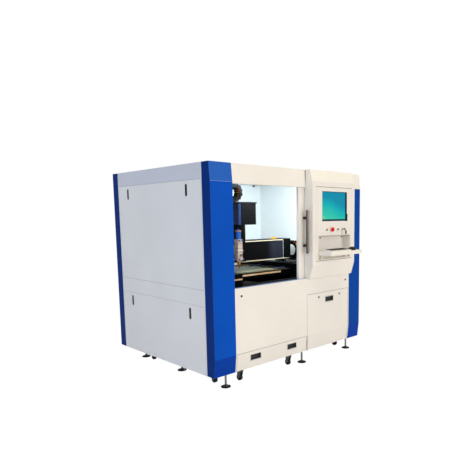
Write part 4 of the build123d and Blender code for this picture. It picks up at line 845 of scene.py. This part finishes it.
def mouse_wheel():
    """The scroll wheel between the mouse's buttons."""
    mesh = bmesh.new()
    turned(mesh, (1561, -189, 1147), (0, 1, 0), [(3, -2.5), (5, -2), (5, 2), (3, 2.5)], sides=16)
    new_piece("mouse_wheel", mesh, [GREY_PLASTIC], "flap", smooth=True)


def key_tag():
    """A fob on a split ring through the key's bow."""
    mesh = bmesh.new()
    ring_x, ring_y, ring_z, ring = 1566, -126, 1324, 9
    loop = [
        (ring_x + ring * math.sin(turn), ring_y, ring_z + ring * math.cos(turn))
        for turn in (2 * math.pi * step / 16 for step in range(17))
    ]
    tube(mesh, loop, 1.2, material=1, sides=6)
    slab(mesh, (ring_x - 4, ring_y - 2, ring_z - 40), (ring_x + 18, ring_y + 2, ring_z - 6), bevel=1.5)
    new_piece("key_tag", mesh, [BLACK_PLASTIC, ZINC], "key")


def bezel_lug():
    """The dark lug low on the right side of the screen."""
    mesh = bmesh.new()
    slab(mesh, (1630, -88, 1412), (1648, -71, 1486), bevel=2)
    new_piece("bezel_lug", mesh, [BLACK_PLASTIC], "machine")


screen()
keyboard_keys()
mouse_wheel()
key_tag()
bezel_lug()


# Cutting head, and the small pieces round the chamber, the door and the panels

def head_screws():
    """Blue caps over the head's clamping screws, wider than the screws so that they show."""
    mesh = bmesh.new()
    cap = [(8.5, 0), (9, 1.5), (9, 6), (7.5, 8)]
    for reach, front_y, z in ((UPPER_SCREW, 578, UPPER_LEVEL), (LOWER_SCREW, 574, LOWER_LEVEL)):
        for x in (HEAD_X - reach, HEAD_X + reach):
            turned(mesh, (x, front_y, z), (0, -1, 0), cap, sides=20)
    new_piece("head_screws", mesh, [BLUE_SCREW], "z_axis", smooth=True)


def head_groove_shades():
    """Thin dark bands painted as the shade in the grooves between the head's blocks."""
    half, front_y, rear_y, height = 31.4, 583.4, 646.4, 3
    mesh = bmesh.new()
    for z in (1110, 1150, 1196):
        slab(mesh, (HEAD_X - half, front_y, z), (HEAD_X + half, rear_y, z + height), bevel=0.4)
    new_piece("head_groove_shades", mesh, [BRONZE_AND_GROOVE_SHADE], "z_axis")


def gauge_dial():
    """A white dial with its rim, hand and pin on the head's boss."""
    front_y, middle_z, hand = 573, 1085, 1.4
    centre = (HEAD_X, front_y, middle_z)
    mesh = bmesh.new()
    turned(mesh, centre, (0, -1, 0), [(17, -1), (17, 1.5), (15.5, 2), (15, 1)], material=1, sides=32)
    turned(mesh, centre, (0, -1, 0), [(15, 0), (15, 1)], material=0, sides=32)
    turned(mesh, centre, (0, -1, 0), [(3, 0.5), (3, 2), (2, 2.4)], material=2, sides=16)
    slab(
        mesh, (HEAD_X - hand, front_y - 2, middle_z), (HEAD_X + hand, front_y - 1.2, middle_z + 12),
        bevel=0.2, material=2,
    )
    new_piece("gauge_dial", mesh, [WHITE_PLASTIC, HEAD, BRONZE_AND_GROOVE_SHADE], "z_axis")


def beam_sensor():
    """The yellow switch on top of the beam, with its grey bracket."""
    mesh = bmesh.new()
    slab(mesh, (1430, 800, 1215), (1492, 830, 1219), bevel=0.8, material=1)
    slab(mesh, (1432, 804, 1219), (1440, 824, 1232), bevel=0.8, material=1)
    slab(mesh, (1448, 803, 1219), (1486, 826, 1236), bevel=2)
    new_piece("beam_sensor", mesh, [YELLOW, ZINC], "gantry")


def ceiling_sensor():
    """A small dark detector under the chamber's ceiling, on a round foot."""
    mesh = bmesh.new()
    turned(mesh, (1699, 1400, 1846), (0, 0, -1), [(16, 0), (16, 4), (13, 6), (13, 16), (9, 20)], sides=20)
    new_piece("ceiling_sensor", mesh, [BLACK_PLASTIC], "machine", smooth=True)


def bellows_end_strip():
    """The pale bar that clamps the cloth to the end box."""
    mesh = bmesh.new()
    slab(mesh, (1533, 734, 1001), (1540, 738.5, 1198), bevel=0.8)
    new_piece("bellows_end_strip", mesh, [BRIGHT], "gantry")


def slat_comb():
    """A thin strip along the table's front bar, marked like a row of slat ends."""
    mesh = bmesh.new()
    slab(mesh, (500, 552, 868), (1312, 555, 884), bevel=0.6)
    new_piece("slat_comb", mesh, [SLAT_ENDS], "machine")


def handle_collars():
    """Dark collars round the handle's posts, each on a pale washer."""
    for name, z in (("lower", 1185), ("upper", 1447)):
        mesh = bmesh.new()
        turned(mesh, (1096, 20.5, z), (0, -1, 0), [(16, 0), (16, 2.5), (15.6, 3)], material=1)
        turned(mesh, (1096, 20.5, z), (0, -1, 0), [(10, 3), (13.5, 7), (13.5, 30), (10, 36)])
        new_piece(f"handle_collar_{name}", mesh, [BRONZE_AND_GROOVE_SHADE, WHITE_PLASTIC], "door", smooth=True)


def console_gap_shadows():
    """Dark strips over and under the console's panel, where it meets the housing: painted shadow in the
    gaps.
    """
    for name, z in (("upper", 1739.5), ("lower", 1031.0)):
        mesh = bmesh.new()
        slab(mesh, (1168, -84.5, z), (1724, -83, z + 3.5), bevel=0.3)
        new_piece(f"console_gap_shadow_{name}", mesh, [GAP_SHADE], "machine")


def column_joint_highlight():
    """A pale strip painted as the highlight where the left column's top facet meets its straight part."""
    mesh = bmesh.new()
    slab(mesh, (1, -0.7, 1745.5), (225, 0.6, 1748.5), bevel=0.3)
    new_piece("column_joint_highlight", mesh, [JOINT_HIGHLIGHT], "machine")


def panel_gap_shades():
    """Dark strips in the gaps round the two panels of the left side, and between the front's panels:
    painted gap shade.
    """
    front, rear, gap, clear = 123.5, 1507.5, 3.5, 0.3
    outer, inner = 0.6, 6
    for name, foot, top in (("lower", 136.0, 723.5), ("upper", 863.5, 1766.5)):
        mesh = bmesh.new()
        for y in (front - gap + clear, rear + clear):
            slab(mesh, (outer, y, foot), (inner, y + gap - 2 * clear, top + gap - clear), bevel=0.3)
        levels = (top + clear,) if name == "lower" else (top + clear, foot - gap + clear)
        for z in levels:
            slab(mesh, (outer, front, z), (inner, rear, z + gap - 2 * clear), bevel=0.3)
        new_piece(f"panel_gap_shade_{name}", mesh, [GAP_SHADE], "machine")
    mesh = bmesh.new()
    slab(mesh, (242, 1.2, 290.0), (1123, 5, 292.3), bevel=0.3)
    slab(mesh, (1126.8, 1.2, 140), (1129.2, 5, 699), bevel=0.3)
    slab(mesh, (1130, 1.2, 699.3), (1774, 5, 701.7), bevel=0.3)
    new_piece("front_gap_shades", mesh, [GAP_SHADE], "machine")


def bed_apron():
    """The same marked strip across the front of the bed's left beam."""
    mesh = bmesh.new()
    slab(mesh, (284, 217, 893), (496, 220, 907), bevel=0.6)
    new_piece("bed_apron", mesh, [SLAT_ENDS], "machine")


column_joint_highlight()
panel_gap_shades()
bed_apron()
head_screws()
head_groove_shades()
gauge_dial()
beam_sensor()
ceiling_sensor()
bellows_end_strip()
slat_comb()
handle_collars()
console_gap_shadows()

# Stage, camera and light

# The camera solved on the photograph: its place, its turns in degrees, and its lens in pixels
EYE = (-2295.8, -3103.3, 1463.2)
TURNS = (46.0434, -7.1436, -0.4289)
IMAGE_SIDE = 475
FOCAL_LENGTH = 479.04
OPTICAL_CENTRE = (292.49, 276.40)
SENSOR = 36


def set_camera():
    """The photograph's own view."""
    data = bpy.data.cameras.new("camera")
    camera = bpy.data.objects.new("camera", data)
    bpy.context.collection.objects.link(camera)
    yaw, pitch, roll = (math.radians(v) for v in TURNS)
    forward = Vector((math.sin(yaw) * math.cos(pitch), math.cos(yaw) * math.cos(pitch), math.sin(pitch)))
    level = Vector((math.cos(yaw), -math.sin(yaw), 0))
    above = level.cross(forward)
    right = level * math.cos(roll) + above * math.sin(roll)
    up = -level * math.sin(roll) + above * math.cos(roll)
    place = at(*EYE)
    camera.matrix_world = Matrix((
        (right.x, up.x, -forward.x, place.x),
        (right.y, up.y, -forward.y, place.y),
        (right.z, up.z, -forward.z, place.z),
        (0, 0, 0, 1),
    ))
    data.sensor_width = SENSOR
    data.lens = FOCAL_LENGTH * SENSOR / IMAGE_SIDE
    data.shift_x = (IMAGE_SIDE / 2 - OPTICAL_CENTRE[0]) / IMAGE_SIDE
    data.shift_y = (OPTICAL_CENTRE[1] - IMAGE_SIDE / 2) / IMAGE_SIDE
    data.clip_end = 100
    bpy.context.scene.camera = camera
    bpy.context.scene.view_settings.view_transform = "Standard"


def stage_white(name):
    """White to the camera's own rays, a plain diffuse surface to every other ray."""
    mat = bpy.data.materials.new(name)
    mat.use_nodes = True
    tree = mat.node_tree
    for node in list(tree.nodes):
        tree.nodes.remove(node)
    out = tree.nodes.new("ShaderNodeOutputMaterial")
    mix = tree.nodes.new("ShaderNodeMixShader")
    path = tree.nodes.new("ShaderNodeLightPath")
    matte = tree.nodes.new("ShaderNodeBsdfDiffuse")
    matte.inputs["Color"].default_value = (0.8, 0.8, 0.8, 1)
    glow = tree.nodes.new("ShaderNodeEmission")
    glow.inputs["Color"].default_value = (1, 1, 1, 1)
    glow.inputs["Strength"].default_value = 1.0
    tree.links.new(path.outputs["Is Camera Ray"], mix.inputs["Fac"])
    tree.links.new(matte.outputs["BSDF"], mix.inputs[1])
    tree.links.new(glow.outputs["Emission"], mix.inputs[2])
    tree.links.new(mix.outputs["Shader"], out.inputs["Surface"])
    return mat


def white_floor():
    """A plain pale floor."""
    reach = 15
    mesh = bpy.data.meshes.new("floor")
    corners = [(-reach, -reach, 0), (reach, -reach, 0), (reach, reach, 0), (-reach, reach, 0)]
    mesh.from_pydata(corners, [], [(0, 1, 2, 3)])
    floor = bpy.data.objects.new("floor", mesh)
    bpy.context.collection.objects.link(floor)
    mesh.materials.append(stage_white("floor_white"))


def white_world():
    """White to the camera's own rays, and a warm even light to every other ray."""
    world = bpy.data.worlds.new("world")
    bpy.context.scene.world = world
    world.use_nodes = True
    tree = world.node_tree
    for node in list(tree.nodes):
        tree.nodes.remove(node)
    out = tree.nodes.new("ShaderNodeOutputWorld")
    mix = tree.nodes.new("ShaderNodeMixShader")
    path = tree.nodes.new("ShaderNodeLightPath")
    ambient = tree.nodes.new("ShaderNodeBackground")
    ambient.inputs["Color"].default_value = (1.0, 0.96, 0.86, 1)
    ambient.inputs["Strength"].default_value = 0.456
    backdrop = tree.nodes.new("ShaderNodeBackground")
    backdrop.inputs["Color"].default_value = (1, 1, 1, 1)
    backdrop.inputs["Strength"].default_value = 1.0
    tree.links.new(path.outputs["Is Camera Ray"], mix.inputs["Fac"])
    tree.links.new(ambient.outputs["Background"], mix.inputs[1])
    tree.links.new(backdrop.outputs["Background"], mix.inputs[2])
    tree.links.new(mix.outputs["Shader"], out.inputs["Surface"])


def area_light(name, place, target, size, power, color):
    """A rectangular lamp that looks at a target."""
    data = bpy.data.lights.new(name, "AREA")
    data.shape = "RECTANGLE"
    data.size, data.size_y = size
    data.energy = power
    data.color = color
    light = bpy.data.objects.new(name, data)
    bpy.context.collection.objects.link(light)
    light.location = place
    light.rotation_euler = (Vector(target) - Vector(place)).to_track_quat("-Z", "Y").to_euler()


set_camera()
white_floor()
white_world()
area_light("key", (1.2, -9.0, 3.0), (0.0, 0, 0.9), (6.0, 4.0), 268, (1.0, 0.95, 1.0))
area_light("fill_left", (-8.2, -1.2, 3.0), (0, 0, 0.9), (5.0, 4.0), 182, (0.56, 0.68, 1.0))
area_light("top", (0, -0.5, 6.0), (0, 0, 0), (5.0, 5.0), 195, (1.0, 0.91, 0.53))
area_light("chamber_lamp", at(1150, 330, 1840), at(1250, 800, 900), (0.9, 0.12), 31, (0.94, 0.98, 1.0))
